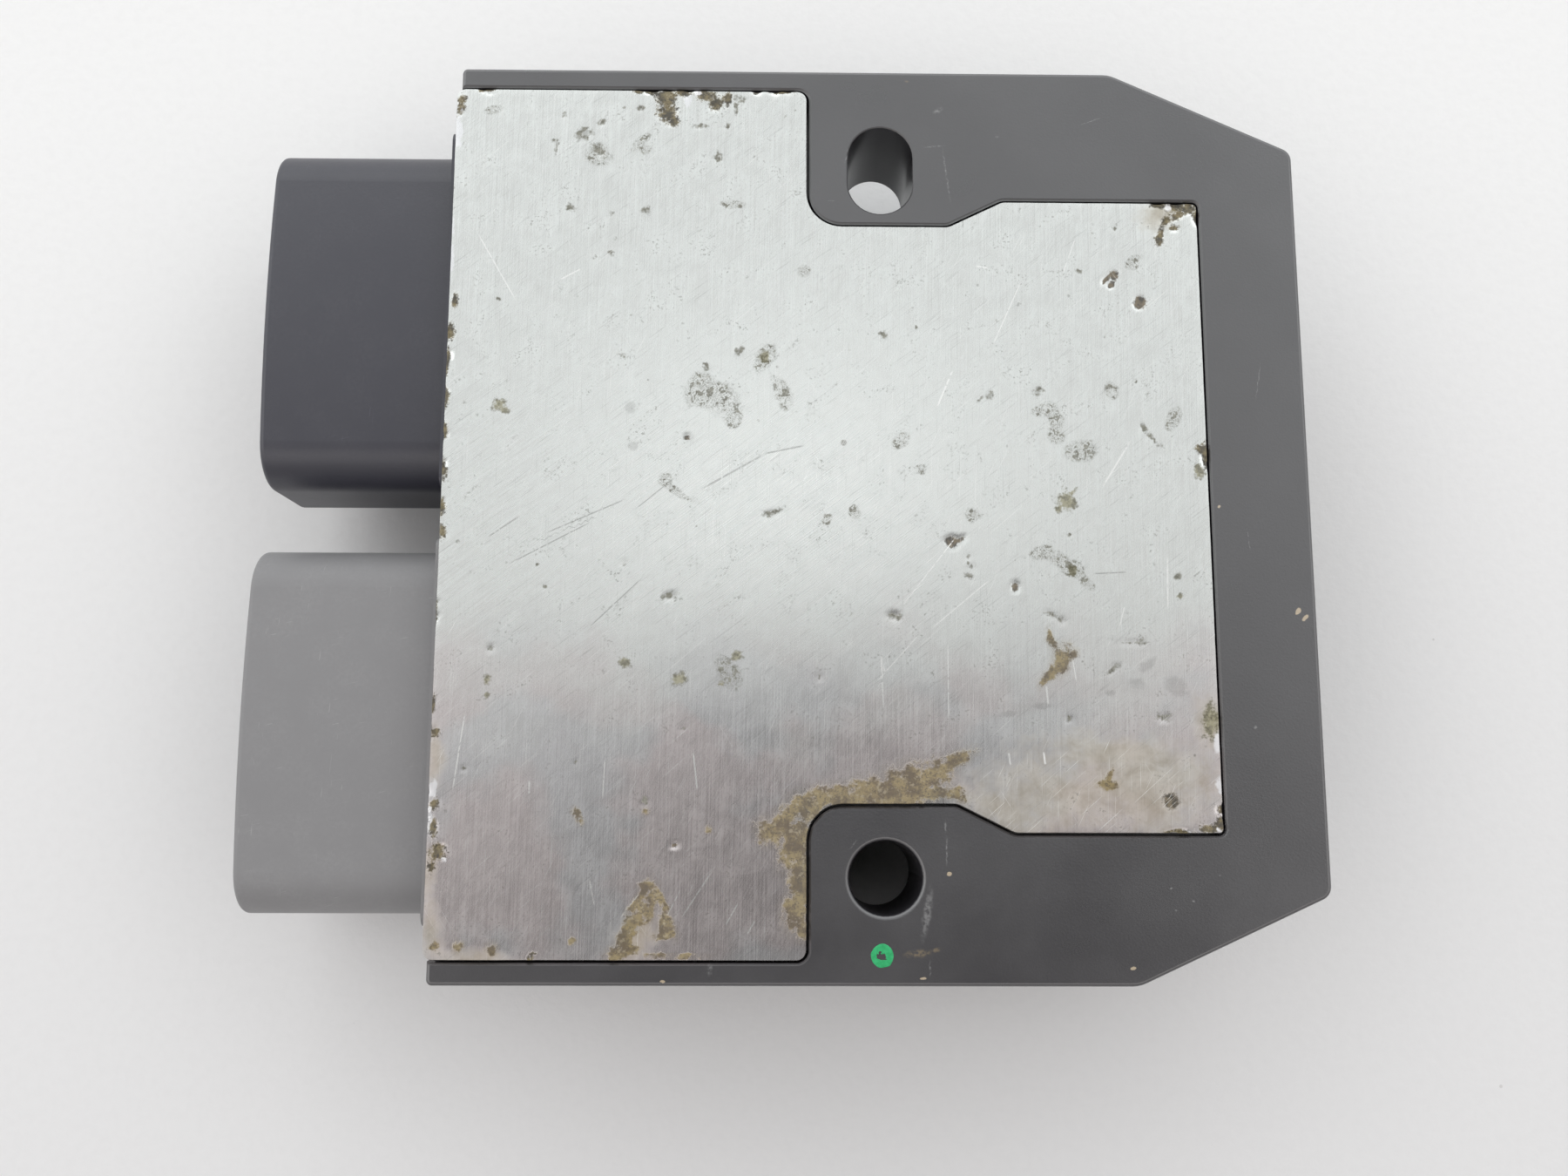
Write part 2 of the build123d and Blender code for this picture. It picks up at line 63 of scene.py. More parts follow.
# ---- building materials out of nodes ----
class Graph:
    """Makes and joins the nodes of one tree. Lengths are millimetres on the object."""

    def __init__(self, tree, coordinates):
        self.nodes = tree.nodes
        self.links = tree.links
        self.place = self.nodes.new("ShaderNodeTexCoord").outputs[coordinates]

    def feed(self, socket, value):
        """Links a node's output to the socket, or sets a plain number or colour on it."""
        if isinstance(value, bpy.types.NodeSocket):
            self.links.new(value, socket)
        elif isinstance(value, (tuple, list)) and socket.type == "RGBA" and len(value) == 3:
            socket.default_value = (*value, 1.0)
        else:
            socket.default_value = value

    def math(self, operation, *values):
        node = self.nodes.new("ShaderNodeMath")
        node.operation = operation
        for socket, value in zip(node.inputs, values):
            self.feed(socket, value)
        return node.outputs[0]

    def vector(self, operation, *values, out=0):
        node = self.nodes.new("ShaderNodeVectorMath")
        node.operation = operation
        for socket, value in zip(node.inputs, values):
            self.feed(socket, value)
        return node.outputs[out]

    def noise(self, size, detail=2.0, roughness=0.55, distortion=0.0, at=None):
        """Noise whose blotches are about as large as size."""
        node = self.nodes.new("ShaderNodeTexNoise")
        self.feed(node.inputs["Vector"], at or self.place)
        node.inputs["Scale"].default_value = 1 / (size * MM)
        node.inputs["Detail"].default_value = detail
        node.inputs["Roughness"].default_value = roughness
        node.inputs["Distortion"].default_value = distortion
        return node.outputs[0]

    def cells(self, size):
        """Voronoi cells about as large as size: (distance to the cell's point, its random colour)."""
        node = self.nodes.new("ShaderNodeTexVoronoi")
        self.feed(node.inputs["Vector"], self.place)
        node.inputs["Scale"].default_value = 1 / (size * MM)
        return node.outputs["Distance"], node.outputs["Color"]

    def ramp(self, value, low, high, to_low=0.0, to_high=1.0):
        """Smooth step of value from low to high."""
        node = self.nodes.new("ShaderNodeMapRange")
        node.interpolation_type = "SMOOTHSTEP"
        for name, number in (("Value", value), ("From Min", low), ("From Max", high),
                             ("To Min", to_low), ("To Max", to_high)):
            self.feed(node.inputs[name], number)
        return node.outputs[0]

    def mix(self, share, first, second):
        """Colour that goes from first to second."""
        node = self.nodes.new("ShaderNodeMix")
        node.data_type = "RGBA"
        node.clamp_factor = True
        self.feed(node.inputs[0], share)
        self.feed(node.inputs[6], first)
        self.feed(node.inputs[7], second)
        return node.outputs[2]

    def blend(self, share, first, second):
        """Number that goes from first to second."""
        node = self.nodes.new("ShaderNodeMix")
        node.clamp_factor = True
        self.feed(node.inputs[0], share)
        self.feed(node.inputs[2], first)
        self.feed(node.inputs[3], second)
        return node.outputs[0]

    def turned(self, degrees, across, along):
        """Places turned about Z and stretched, so that noise at size 1 makes streaks at that angle."""
        node = self.nodes.new("ShaderNodeMapping")
        node.vector_type = "TEXTURE"
        self.feed(node.inputs["Vector"], self.place)
        node.inputs["Rotation"].default_value = (0, 0, math.radians(degrees))
        node.inputs["Scale"].default_value = (along, across, 1.0)
        return node.outputs[0]

    def axis(self, index):
        """One coordinate of the place, in millimetres."""
        node = self.nodes.new("ShaderNodeSeparateXYZ")
        self.feed(node.inputs[0], self.place)
        return self.math("MULTIPLY", node.outputs[index], 1 / MM)

    def stored(self, name):
        """The three numbers that a mesh carries at each of its points under that name."""
        node = self.nodes.new("ShaderNodeAttribute")
        node.attribute_name = name
        split = self.nodes.new("ShaderNodeSeparateXYZ")
        self.feed(split.inputs[0], node.outputs["Vector"])
        return split.outputs[0], split.outputs[1], split.outputs[2]

    def marks(self, push, rows):
        """1 in the middle of a mark, 0 on its rim and below 0 outside all. Push makes the outlines ragged.
        A row is (x, y, radius), or (x, y, half length, half width, degrees) for a long mark."""
        wobble = self.nodes.new("ShaderNodeCombineXYZ")
        for index, size in ((0, 0.5), (1, 0.55)):
            away = self.math("SUBTRACT", self.noise(size, detail=3), 0.5)
            self.feed(wobble.inputs[index], self.math("MULTIPLY", away, push * MM))
        at = self.vector("ADD", self.place, wobble.outputs[0])
        nearest = None
        for x, y, half_length, half_width, degrees in map(full_row, rows):
            away = self.vector("SUBTRACT", at, (x * MM, y * MM, 0.0))
            turn = math.radians(degrees)
            along = (math.cos(turn) / half_length / MM, math.sin(turn) / half_length / MM, 0.0)
            across = (-math.sin(turn) / half_width / MM, math.cos(turn) / half_width / MM, 0.0)
            first = self.math("POWER", self.vector("DOT_PRODUCT", away, along, out=1), 2.0)
            second = self.math("POWER", self.vector("DOT_PRODUCT", away, across, out=1), 2.0)
            reach = self.math("ADD", first, second)
            nearest = reach if nearest is None else self.math("MINIMUM", nearest, reach)
        return self.math("SUBTRACT", 1.0, self.math("SQRT", nearest))

    def specks(self, size, radius, share):
        """Scattered round specks: one in each cell of that size, for that share of the cells."""
        distance, colour = self.cells(size)
        node = self.nodes.new("ShaderNodeSeparateColor")
        self.feed(node.inputs[0], colour)
        chosen = self.math("LESS_THAN", node.outputs[0], share)
        own_radius = self.math("MULTIPLY", node.outputs[1], radius / size)
        inside = self.math("SUBTRACT", own_radius, distance)
        return self.math("MULTIPLY", self.ramp(inside, 0.0, 0.3 * radius / size), chosen)

    def hairs(self, degrees, width, length, rarity):
        """Thin straight scratches at that angle. The higher the rarity, from 0.6 to 0.8, the fewer."""
        streaks = self.noise(1.0, detail=1, at=self.turned(degrees, width, length))
        return self.ramp(streaks, rarity, rarity + 0.05)

    def most(self, *values):
        """The largest of several numbers."""
        most = values[0]
        for value in values[1:]:
            most = self.math("MAXIMUM", most, value)
        return most

    def times(self, *values):
        """The product of several numbers."""
        product = values[0]
        for value in values[1:]:
            product = self.math("MULTIPLY", product, value)
        return product

    def bump(self, height, depth, under=None):
        """Bump of a 0 to 1 height that is depth deep."""
        node = self.nodes.new("ShaderNodeBump")
        node.inputs["Strength"].default_value = 1.0
        node.inputs["Distance"].default_value = depth * MM
        self.feed(node.inputs["Height"], height)
        if under is not None:
            self.feed(node.inputs["Normal"], under)
        return node.outputs[0]


def full_row(row):
    """A mark's row with its half width and angle filled in."""
    return row if len(row) == 5 else (row[0], row[1], row[2], row[2], 0)


class Look(Graph):
    """One procedural material on a Principled shader."""

    def __init__(self, name):
        self.material = bpy.data.materials.new(name)
        self.material.use_nodes = True
        super().__init__(self.material.node_tree, "Object")
        self.shader = self.nodes["Principled BSDF"]

    def set(self, **values):
        """Sets or links the shader's own sockets, such as base_color or roughness."""
        for name, value in values.items():
            self.feed(self.shader.inputs[SOCKETS[name]], value)


SOCKETS = {
    "base_color": "Base Color", "metallic": "Metallic", "roughness": "Roughness", "normal": "Normal",
    "specular": "Specular IOR Level", "ior": "IOR", "coat": "Coat Weight",
}


# ---- worn aluminium base plate ----
# The wear, in millimetres: (x, y, radius), or (x, y, half length, half width, degrees). The places follow the
# photograph, and many were converted to millimetres by a separate script.
DARK_PITS = [
    (-20.2, 37.8, 0.4), (-17.0, 34.5, 0.8), (-16.6, 33.9, 0.5), (-18.3, 35.9, 0.9),
    (-16.7, 37.0, 0.7, 0.4, 20), (-20.9, 34.3, 1.0, 0.3, 90), (-21.0, 35.0, 0.35), (-19.4, 28.6, 0.6),
    (-15.5, 27.9, 0.35), (-12.3, 28.3, 0.55), (-12.1, 27.8, 0.3), (-25.9, 19.4, 0.35),
    (-14.2, 14.1, 0.6, 0.25, 0), (-6.4, 13.1, 0.4), (-5.5, 33.7, 0.6), (-7.2, 36.8, 0.8, 0.4, 0),
    (0.8, 37.9, 0.55, 0.2, 90), (-3.9, 38.9, 1.4, 0.22, 90), (-3.4, 39.6, 0.5), (-15.4, 23.9, 0.35),
    (-4.7, 36.7, 0.35), (-12.9, 38.6, 0.5), (-14.5, 38.6, 0.3), (-24.9, 11.6, 0.3), (-28.6, 9.4, 0.3),
    (-21.5, -5.5, 0.28), (-20.7, -7.6, 0.28), (-13.8, -5.5, 0.22), (-9.5, -8.3, 0.9, 0.5, 10),
    (-8.2, -20.4, 0.28), (4.0, -15.6, 0.3), (10.8, -10.2, 0.75), (-3.4, 14.6, 0.5), (19.8, 10.5, 0.5),
    (18.9, 10.1, 0.6, 0.25, 40), (24.3, 10.9, 0.65), (33.4, 12.0, 0.25), (28.4, 22.5, 0.35),
    (22.7, 19.2, 0.3), (9.9, 16.3, 0.55), (13.0, 17.0, 0.25), (20.6, 17.6, 0.25), (32.0, 27.0, 0.35),
    (36.5, -6.4, 0.45), (33.1, -12.4, 0.5), (32.0, -12.4, 2.2, 0.1, 0), (30.4, -14.8, 1.0, 0.35, 30),
    (26.2, -19.3, 0.35), (34.9, -19.1, 0.9, 0.5, -10), (-18.6, -34.5, 0.25), (-11.4, -26.7, 0.45),
    (-17.5, -23.3, 0.3, 0.2, 90), (34.0, 7.5, 0.8, 0.3, -65), (34.7, 6.5, 0.9, 0.25, -55),
    (35.4, 5.7, 0.5, 0.3, -40), (26.8, -2.6, 0.25), (17.6, -4.7, 0.3), (17.7, -5.5, 0.7, 0.2, -70),
    (17.6, -6.5, 0.5, 0.3, -20), (-25.3, -13.2, 0.35), (-27.4, -23.9, 0.4), (25.0, -10.0, 0.9, 0.3, -10),
    (25.9, -10.4, 0.45), (-0.4, -0.7, 1.1, 0.4, 15),
]
HARD_PITS = [
    (-8.1, 6.25, 0.42, 0.3, 0), (34.1, 19.5, 0.72), (16.2, -3.3, 0.62), (15.7, -3.2, 0.4),
    (16.9, -3.0, 0.45, 0.25, 30), (21.7, -7.4, 0.42), (35.2, -26.5, 0.85), (-8.7, -30.5, 0.3),
    (31.7, 22.2, 0.5), (31.0, 21.7, 0.7, 0.25, 55), (31.4, 21.3, 0.5, 0.2, 60),
]
CLUSTERS = [
    (-1.0, 14.0, 1.3, 0.8, 60), (-5.9, 10.2, 2.2, 1.3, -15), (-6.9, 11.4, 1.0),
    (0.6, 10.6, 1.5, 0.8, -70), (-3.9, 8.1, 0.8), (24.6, 9.0, 1.0, 0.5, 0), (25.8, 8.3, 1.2, 0.55, -70),
    (25.9, 6.8, 0.7), (28.1, 5.3, 1.4, 0.9, 5), (24.2, -4.3, 0.9, 0.6, 0), (25.6, -4.8, 1.0, 0.6, -20),
    (27.0, -5.8, 1.1, 0.7, -30), (28.3, -7.0, 0.8, 0.5, -40), (-8.9, 1.1, 1.3, 0.35, -30),
    (-10.1, 2.2, 0.6), (31.1, 11.1, 1.0, 0.6, -60), (11.5, 6.0, 0.9, 0.5, 40),
    (-12.9, 35.0, 1.1, 0.4, 50), (-12.4, 34.3, 0.5), (13.4, 3.4, 0.4), (7.2, -0.5, 0.5), (4.7, -1.2, 0.4),
    (17.9, -0.9, 0.7), (36.9, 8.5, 1.2, 0.6, 60), (-27.0, 38.2, 0.8, 0.4, 20), (33.5, 23.5, 0.9, 0.5, 30),
    (-17.0, 33.6, 1.3, 0.9, 0), (2.6, 22.3, 0.6), (-4.2, -15.2, 1.5, 0.8, -60),
    (-4.0, 28.9, 1.3, 0.35, 0),
]
OLIVE = [
    (-25.4, 9.3, 0.85, 0.65, 30), (-24.9, 8.9, 0.5), (-1.0, 14.0, 0.7), (26.6, 0.5, 1.05),
    (27.1, 1.2, 0.7, 0.3, 40), (25.9, -0.2, 0.45), (-13.4, -14.4, 0.7, 0.55, -40),
    (-8.6, -15.9, 0.9, 0.6, 30), (-3.4, -13.8, 0.55), (-4.7, -16.2, 0.4), (-25.7, -16.1, 0.6, 0.4, 60),
    (-25.5, -17.4, 0.3), (39.0, -19.6, 1.0, 1.9, 0), (38.9, 3.4, 0.5, 0.9, 10), (36.7, -8.3, 0.35),
    (27.0, -5.9, 0.5),
]
OCHRE = [
    (-0.1, -29.3, 1.2, 1.5, 90), (0.9, -28.6, 1.8, 1.2, 60), (1.9, -30.5, 1.5, 2.6, 0),
    (2.2, -33.2, 0.95, 3.0, 0), (1.9, -36.0, 1.15, 1.9, -8), (2.5, -37.5, 0.6, 1.2, 0),
    (2.6, -26.9, 2.2, 0.9, 35), (5.4, -26.1, 3.3, 0.95, 3), (8.8, -25.8, 3.0, 1.25, 3),
    (11.6, -25.2, 2.8, 1.7, 18), (14.0, -24.4, 2.2, 1.2, 28), (16.2, -23.0, 1.7, 0.7, 30),
    (13.6, -26.0, 3.0, 0.7, 0), (16.2, -26.0, 0.9, 0.5, -30), (3.3, -27.4, 2.0, 1.0, 45),
    (2.4, -29.2, 1.0, 1.8, 0), (2.3, -31.5, 1.1, 2.0, 0), (2.4, -35.0, 0.9, 2.4, 0),
    (6.5, -26.6, 3.0, 0.8, 0), (10.8, -26.3, 3.0, 1.0, 0), (-11.9, -35.3, 1.9, 0.42, 60),
    (-10.9, -34.0, 0.9, 0.45, 0), (-12.0, -36.8, 1.6, 0.75, 62), (-12.9, -38.6, 1.7, 0.8, 62),
    (-13.4, -39.7, 1.2, 0.7, 10), (-10.7, -35.4, 1.0, 0.5, 90), (-9.9, -35.2, 1.6, 0.42, -62),
    (-9.2, -37.3, 1.2, 0.55, -65), (-12.6, -38.5, 2.1, 0.5, 62), (-12.9, -39.6, 1.3, 0.6, 15),
    (-9.5, -37.9, 0.9, 0.5, 25), (-10.7, -36.2, 1.0, 0.3, 80), (-9.8, -37.2, 0.7, 0.35, 80),
    (24.9, -12.3, 1.1, 0.4, -75), (25.7, -14.0, 1.5, 0.8, 70), (24.6, -15.5, 1.2, 0.45, 45),
    (26.9, -13.4, 0.6, 0.45, 60), (-17.3, -28.0, 0.75, 0.4, -60), (-11.3, -27.5, 0.35),
    (-5.8, -29.1, 0.35), (29.6, -25.1, 1.0, 0.45, 0), (29.9, -24.3, 0.6, 0.3, 70),
    (-8.6, -39.9, 2.6, 0.25, 0), (-17.5, -38.7, 0.4), (-27.2, -39.1, 0.5), (-24.4, -39.3, 0.6),
    (-29.4, -39.0, 0.5),
]
CRUST = [
    (-10.5, 39.6, 1.2), (-10.4, 38.1, 1.15, 1.3, 0), (-9.8, 37.2, 0.75), (-8.9, 40.2, 1.0, 0.5, 0),
    (-6.7, 39.9, 1.3, 0.7, 0), (-5.8, 39.1, 0.9), (-4.6, 39.5, 0.5, 0.9, 0), (-13.2, 40.1, 0.7, 0.3, 0),
    (-11.9, 40.3, 0.9, 0.4, 0), (0.6, 40.3, 1.4, 0.2, 0), (-2.0, 40.3, 0.5, 0.35, 0),
    (36.2, 29.2, 0.9, 0.5, 0), (37.7, 29.0, 1.2, 0.7, 0), (39.0, 28.9, 0.9, 0.7, 0),
    (37.9, 28.2, 1.1, 0.5, 35), (36.7, 27.6, 1.0, 0.45, 60), (36.2, 26.3, 0.9, 0.35, 80),
    (36.0, 25.6, 0.5), (37.6, 26.9, 0.8, 0.25, 10), (39.6, 28.0, 0.35, 0.9, 0), (39.1, 5.5, 0.55),
    (39.5, 4.9, 0.35, 1.6, 0), (39.4, -28.5, 0.6, 0.9, 0), (38.6, -29.0, 1.4, 0.35, 0),
    (35.6, -29.2, 1.6, 0.2, 0), (39.6, -27.2, 0.35, 0.5, 0), (-29.9, 19.3, 0.4, 0.8, 0),
    (-30.1, 16.2, 0.5, 1.1, 0), (-30.3, 13.5, 0.3, 1.6, 0), (-30.3, 10.0, 0.35, 1.3, 0),
    (-30.3, 6.8, 0.3, 1.0, 0), (-30.3, 3.1, 0.35, 1.2, 0), (-30.2, -0.3, 0.38, 1.2, 0),
    (-30.2, -2.6, 0.4, 0.9, 0), (-30.4, -9.8, 0.25, 1.2, 0), (-30.3, -18.2, 0.32, 1.0, 0),
    (-30.1, -20.6, 0.45, 0.6, 0), (-29.9, -27.0, 0.6, 0.7, 0), (-29.9, -29.0, 0.5, 1.0, 0),
    (-29.4, -31.1, 1.0, 0.9, 0), (-29.9, -32.4, 0.5, 0.6, 0), (-30.1, 38.2, 0.45, 0.9, 0),
    (-29.9, 39.3, 0.6, 0.5, 45), (-28.0, 40.2, 1.3, 0.25, 10), (-21.0, -40.0, 0.7, 0.35, 40),
]
BARE_CHIPS = [
    (-30.1, 36.0, 0.35, 2.6, 0), (-30.1, -25.6, 0.5, 0.9, 0), (-30.2, -28.1, 0.3, 1.6, 0),
    (-28.8, -31.8, 0.3), (-8.5, 39.2, 0.45, 0.7, 0), (37.0, 28.9, 0.4), (-7.6, 40.1, 0.5, 0.25, 0),
    (39.4, -21.5, 0.3, 1.6, 0), (39.4, -25.0, 0.25, 1.4, 0), (-30.2, 24.0, 0.22, 4.0, 0),
    (39.3, -29.0, 0.3),
]
GREY_FLATS = [
    (-13.4, 9.1, 0.75, 0.65, 0), (-13.0, 5.5, 0.65, 0.55, 0), (-9.6, -8.3, 0.9, 0.6, 0),
    (23.9, -18.1, 1.1, 0.45, 0), (20.9, -18.9, 1.3, 0.35, 12), (32.5, -16.1, 0.9, 0.6, 0),
    (36.0, -16.4, 1.6, 1.1, -30), (33.6, -14.4, 1.2, 0.5, 40), (30.2, -17.0, 0.7, 0.35, 0),
]
HAZE = [
    (25.0, -25.8, 8.0, 3.4, 2), (33.5, -25.8, 7.0, 4.0, 0), (20.5, -27.5, 5.0, 2.2, -15),
    (30.0, -22.6, 7.0, 1.5, -4), (-26.0, -39.8, 5.5, 0.9, -2), (-29.8, -33.0, 0.7, 3.0, 0),
    (-29.8, -22.5, 0.6, 3.0, 0), (-29.4, -37.5, 1.0, 2.5, 0), (38.7, -19.5, 1.6, 3.0, 0),
    (36.4, 28.0, 2.0, 1.6, 0), (-11.6, -38.4, 2.2, 1.6, 0), (35.2, -26.5, 2.0, 1.4, 0),
]
BRIGHT_SCRATCHES = [
    (9.65, -16.1, 2.6, 0.09, 92), (15.55, -16.0, 3.6, 0.06, 90), (35.6, -7.0, 2.5, 0.08, 88),
    (31.35, -10.1, 1.0, 0.07, 75), (-6.7, -34.7, 2.4, 0.07, 57), (-3.65, -36.4, 1.1, 0.07, 60),
    (-1.95, -37.5, 0.7, 0.07, 60), (-15.85, -34.6, 1.2, 0.07, 102), (-12.55, -35.7, 1.3, 0.06, 53),
    (-15.05, -24.8, 1.8, 0.06, 88), (-7.0, -23.9, 1.9, 0.08, 97), (-21.6, -25.5, 0.6, 0.08, 90),
    (31.3, 4.0, 2.7, 0.09, 58), (15.65, 11.1, 2.0, 0.09, 67), (21.55, 18.4, 3.6, 0.06, 66),
    (27.5, 24.0, 2.0, 0.05, 70), (24.0, -22.8, 0.6, 0.1, 96), (20.9, -22.9, 0.6, 0.1, 96),
    (-26.1, 22.6, 4.0, 0.06, -60), (-19.2, 21.9, 1.1, 0.09, 30), (26.9, -14.9, 1.1, 0.07, 98),
    (16.8, -9.0, 3.6, 0.06, 40), (24.4, -17.2, 0.9, 0.1, 95), (19.3, 22.9, 0.6, 0.09, -10),
    (-27.9, -22.4, 3.6, 0.07, 83), (-9.0, -36.0, 2.0, 0.05, 63), (11.0, -14.0, 3.0, 0.05, 48),
    (14.0, -6.0, 4.5, 0.05, 52),
]
DARK_SCRATCHES = [
    (-3.9, 3.1, 3.5, 0.1, 30), (0.8, 5.2, 2.0, 0.09, 12), (-17.2, -1.1, 4.2, 0.07, 24),
    (-20.4, -3.6, 4.4, 0.07, 28), (-11.0, 1.0, 2.5, 0.06, 40), (30.4, -6.1, 1.6, 0.07, 3),
    (-24.6, -2.1, 1.8, 0.07, 35), (-14.3, -9.0, 3.5, 0.06, 44),
]


# Sizes of the worn plate, in millimetres
GRID = 0.3              # spacing of its points
RIM_INSET = 0.12        # how far the upper face stops short of the outline
RAGGED = 0.22           # how far the marks' outlines wander
HAZE_DRIFT = 1.1        # how far the haze's outlines wander
PIT_DEPTH = 0.16
CRUST_HEIGHT = 0.03
NICK_DEPTH = 0.26
# Rings of the plate's edge: share of the inset, drop, and how far a nick sinks it and pulls it in
EDGE_ROWS = ((0.35, 0.03, 0.35, 0.55), (0.0, 0.14, 0.9, 0.0))
SMOOTH_BELOW = 38       # degrees between two faces


def closeness(points, rows):
    """For each point: 1 in the middle of a mark, 0 on its rim, and below 0 outside all of them."""
    nearest = np.full(len(points), 60.0)
    for x, y, half_length, half_width, degrees in map(full_row, rows):
        turn = math.radians(degrees)
        away = points - (x, y)
        along = (away[:, 0] * math.cos(turn) + away[:, 1] * math.sin(turn)) / half_length
        across = (away[:, 1] * math.cos(turn) - away[:, 0] * math.sin(turn)) / half_width
        nearest = np.minimum(nearest, np.hypot(along, across))
    return np.maximum(1.0 - nearest, -3.0)


def line_fields(points, rows):
    """For each point and its nearest scratch: how many half widths it lies to the side, and 1 at the
    scratch's middle falling to 0 at its ends."""
    best = np.full(len(points), 1e9)
    side, end = np.full(len(points), 60.0), np.zeros(len(points))
    for x, y, half_length, half_width, degrees in rows:
        turn = math.radians(degrees)
        away = points - (x, y)
        along = away[:, 0] * math.cos(turn) + away[:, 1] * math.sin(turn)
        across = away[:, 1] * math.cos(turn) - away[:, 0] * math.sin(turn)
        distance = np.hypot(across, np.maximum(np.abs(along) - half_length, 0.0))
        nearer = distance < best
        best[nearer] = distance[nearer]
        side[nearer] = across[nearer] / half_width
        end[nearer] = 1.0 - np.abs(along[nearer]) / half_length
    return side, end


def rim_of_plate():
    """The base plate's outline in millimetres, counter-clockwise, in steps no longer than GRID."""
    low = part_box("base_plate")[0][2]
    source = bmesh.new()
    source.from_mesh(frame["nodes"]["base_plate"].data)
    bmesh.ops.remove_doubles(source, verts=source.verts[:], dist=1e-6)
    after = {}
    for edge in source.edges:
        flat = [all(abs(vert.co.z - low) < 1e-5 for vert in face.verts) for face in edge.link_faces]
        if all(abs(vert.co.z - low) < 1e-5 for vert in edge.verts) and any(flat) and not all(flat):
            first, second = edge.verts
            after.setdefault(first.index, []).append(second.index)
            after.setdefault(second.index, []).append(first.index)
    source.verts.ensure_lookup_table()
    start = next(iter(after))
    ring, before, here = [start], start, after[start][0]
    while here != start:
        ring.append(here)
        before, here = here, next(index for index in after[here] if index != before)
    corners = [np.array(source.verts[index].co.xy) / MM for index in ring]
    source.free()
    points = []
    for here, following in zip(corners, corners[1:] + corners[:1]):
        count = max(1, math.ceil(float(np.linalg.norm(following - here)) / GRID))
        points += [here + (following - here) * step / count for step in range(count)]
    points = np.array(points)
    turned = np.roll(points, -1, axis=0)
    area = float(np.sum(points[:, 0] * turned[:, 1] - turned[:, 0] * points[:, 1]))
    return points if area > 0 else points[::-1].copy()


def inside_ring(points, ring):
    """Which points lie inside the ring."""
    inside = np.zeros(len(points), dtype=bool)
    x, y = points[:, 0], points[:, 1]
    for (x1, y1), (x2, y2) in zip(ring, np.roll(ring, -1, axis=0)):
        if y1 != y2:
            crosses = (y1 > y) != (y2 > y)
            inside ^= crosses & (x < (x2 - x1) * (y - y1) / (y2 - y1) + x1)
    return inside


def plate_face(ring):
    """Points and faces of the plate's upper face: square cells inside, fitted triangles along the ring."""
    low, high = ring.min(axis=0), ring.max(axis=0)
    columns = int((high[0] - low[0]) / GRID)
    rows = int((high[1] - low[1]) / GRID)
    x = low[0] + (np.arange(columns) + 0.5) * GRID
    y = low[1] + (np.arange(rows) + 0.5) * GRID
    lattice = np.stack(np.meshgrid(x, y, indexing="ij"), axis=-1).reshape(-1, 2)
    gap = np.full(len(lattice), 1e9)
    for point in ring:
        gap = np.minimum(gap, (lattice[:, 0] - point[0]) ** 2 + (lattice[:, 1] - point[1]) ** 2)
    keep = (inside_ring(lattice, ring) & (gap > (0.75 * GRID) ** 2)).reshape(columns, rows)
    cell = keep[:-1, :-1] & keep[1:, :-1] & keep[:-1, 1:] & keep[1:, 1:]
    number = {}
    points = [tuple(point) for point in ring]
    faces = []
    sides = {}

    def corner(i, j):
        if (i, j) not in number:
            number[i, j] = len(points)
            points.append((x[i], y[j]))
        return number[i, j]

    for i, j in zip(*np.nonzero(cell)):
        quad = (corner(i, j), corner(i + 1, j), corner(i + 1, j + 1), corner(i, j + 1))
        faces.append(quad)
        for first, second in zip(quad, quad[1:] + quad[:1]):
            pair = (min(first, second), max(first, second))
            sides[pair] = sides.get(pair, 0) + 1
    border = [pair for pair, uses in sides.items() if uses == 1]
    used = list(range(len(ring))) + sorted({index for pair in border for index in pair})
    local = {index: place for place, index in enumerate(used)}
    edges = [(place, (place + 1) % len(ring)) for place in range(len(ring))]
    edges += [(local[first], local[second]) for first, second in border]
    flat = [Vector(points[index]) for index in used]
    made, _, triangles, origin, _, _ = geometry.delaunay_2d_cdt(flat, edges, [], 0, 1e-6)
    middles = np.array([[sum(made[k][axis] for k in face) / 3 for axis in (0, 1)] for face in triangles])
    fits = inside_ring(middles, ring)
    column = np.floor((middles[:, 0] - x[0]) / GRID).astype(int)
    row = np.floor((middles[:, 1] - y[0]) / GRID).astype(int)
    known = (column >= 0) & (row >= 0) & (column < columns - 1) & (row < rows - 1)
    for face, fit, i, j, known_cell in zip(triangles, fits, column, row, known):
        if fit and not (known_cell and cell[i, j]) and all(origin[k] for k in face):
            faces.append(tuple(used[origin[k][0]] for k in face))
    return np.array(points), faces


def step_up(value, low, high):
    """Smooth step from 0 at low to 1 at high."""
    share = np.clip((value - low) / (high - low), 0.0, 1.0)
    return share * share * (3 - 2 * share)


def noisy(points, size, seed):
    """Noise from -1 to 1 at each point, with blotches of that size."""
    return np.array([noise.noise(Vector((x / size, y / size, seed))) for x, y in points])


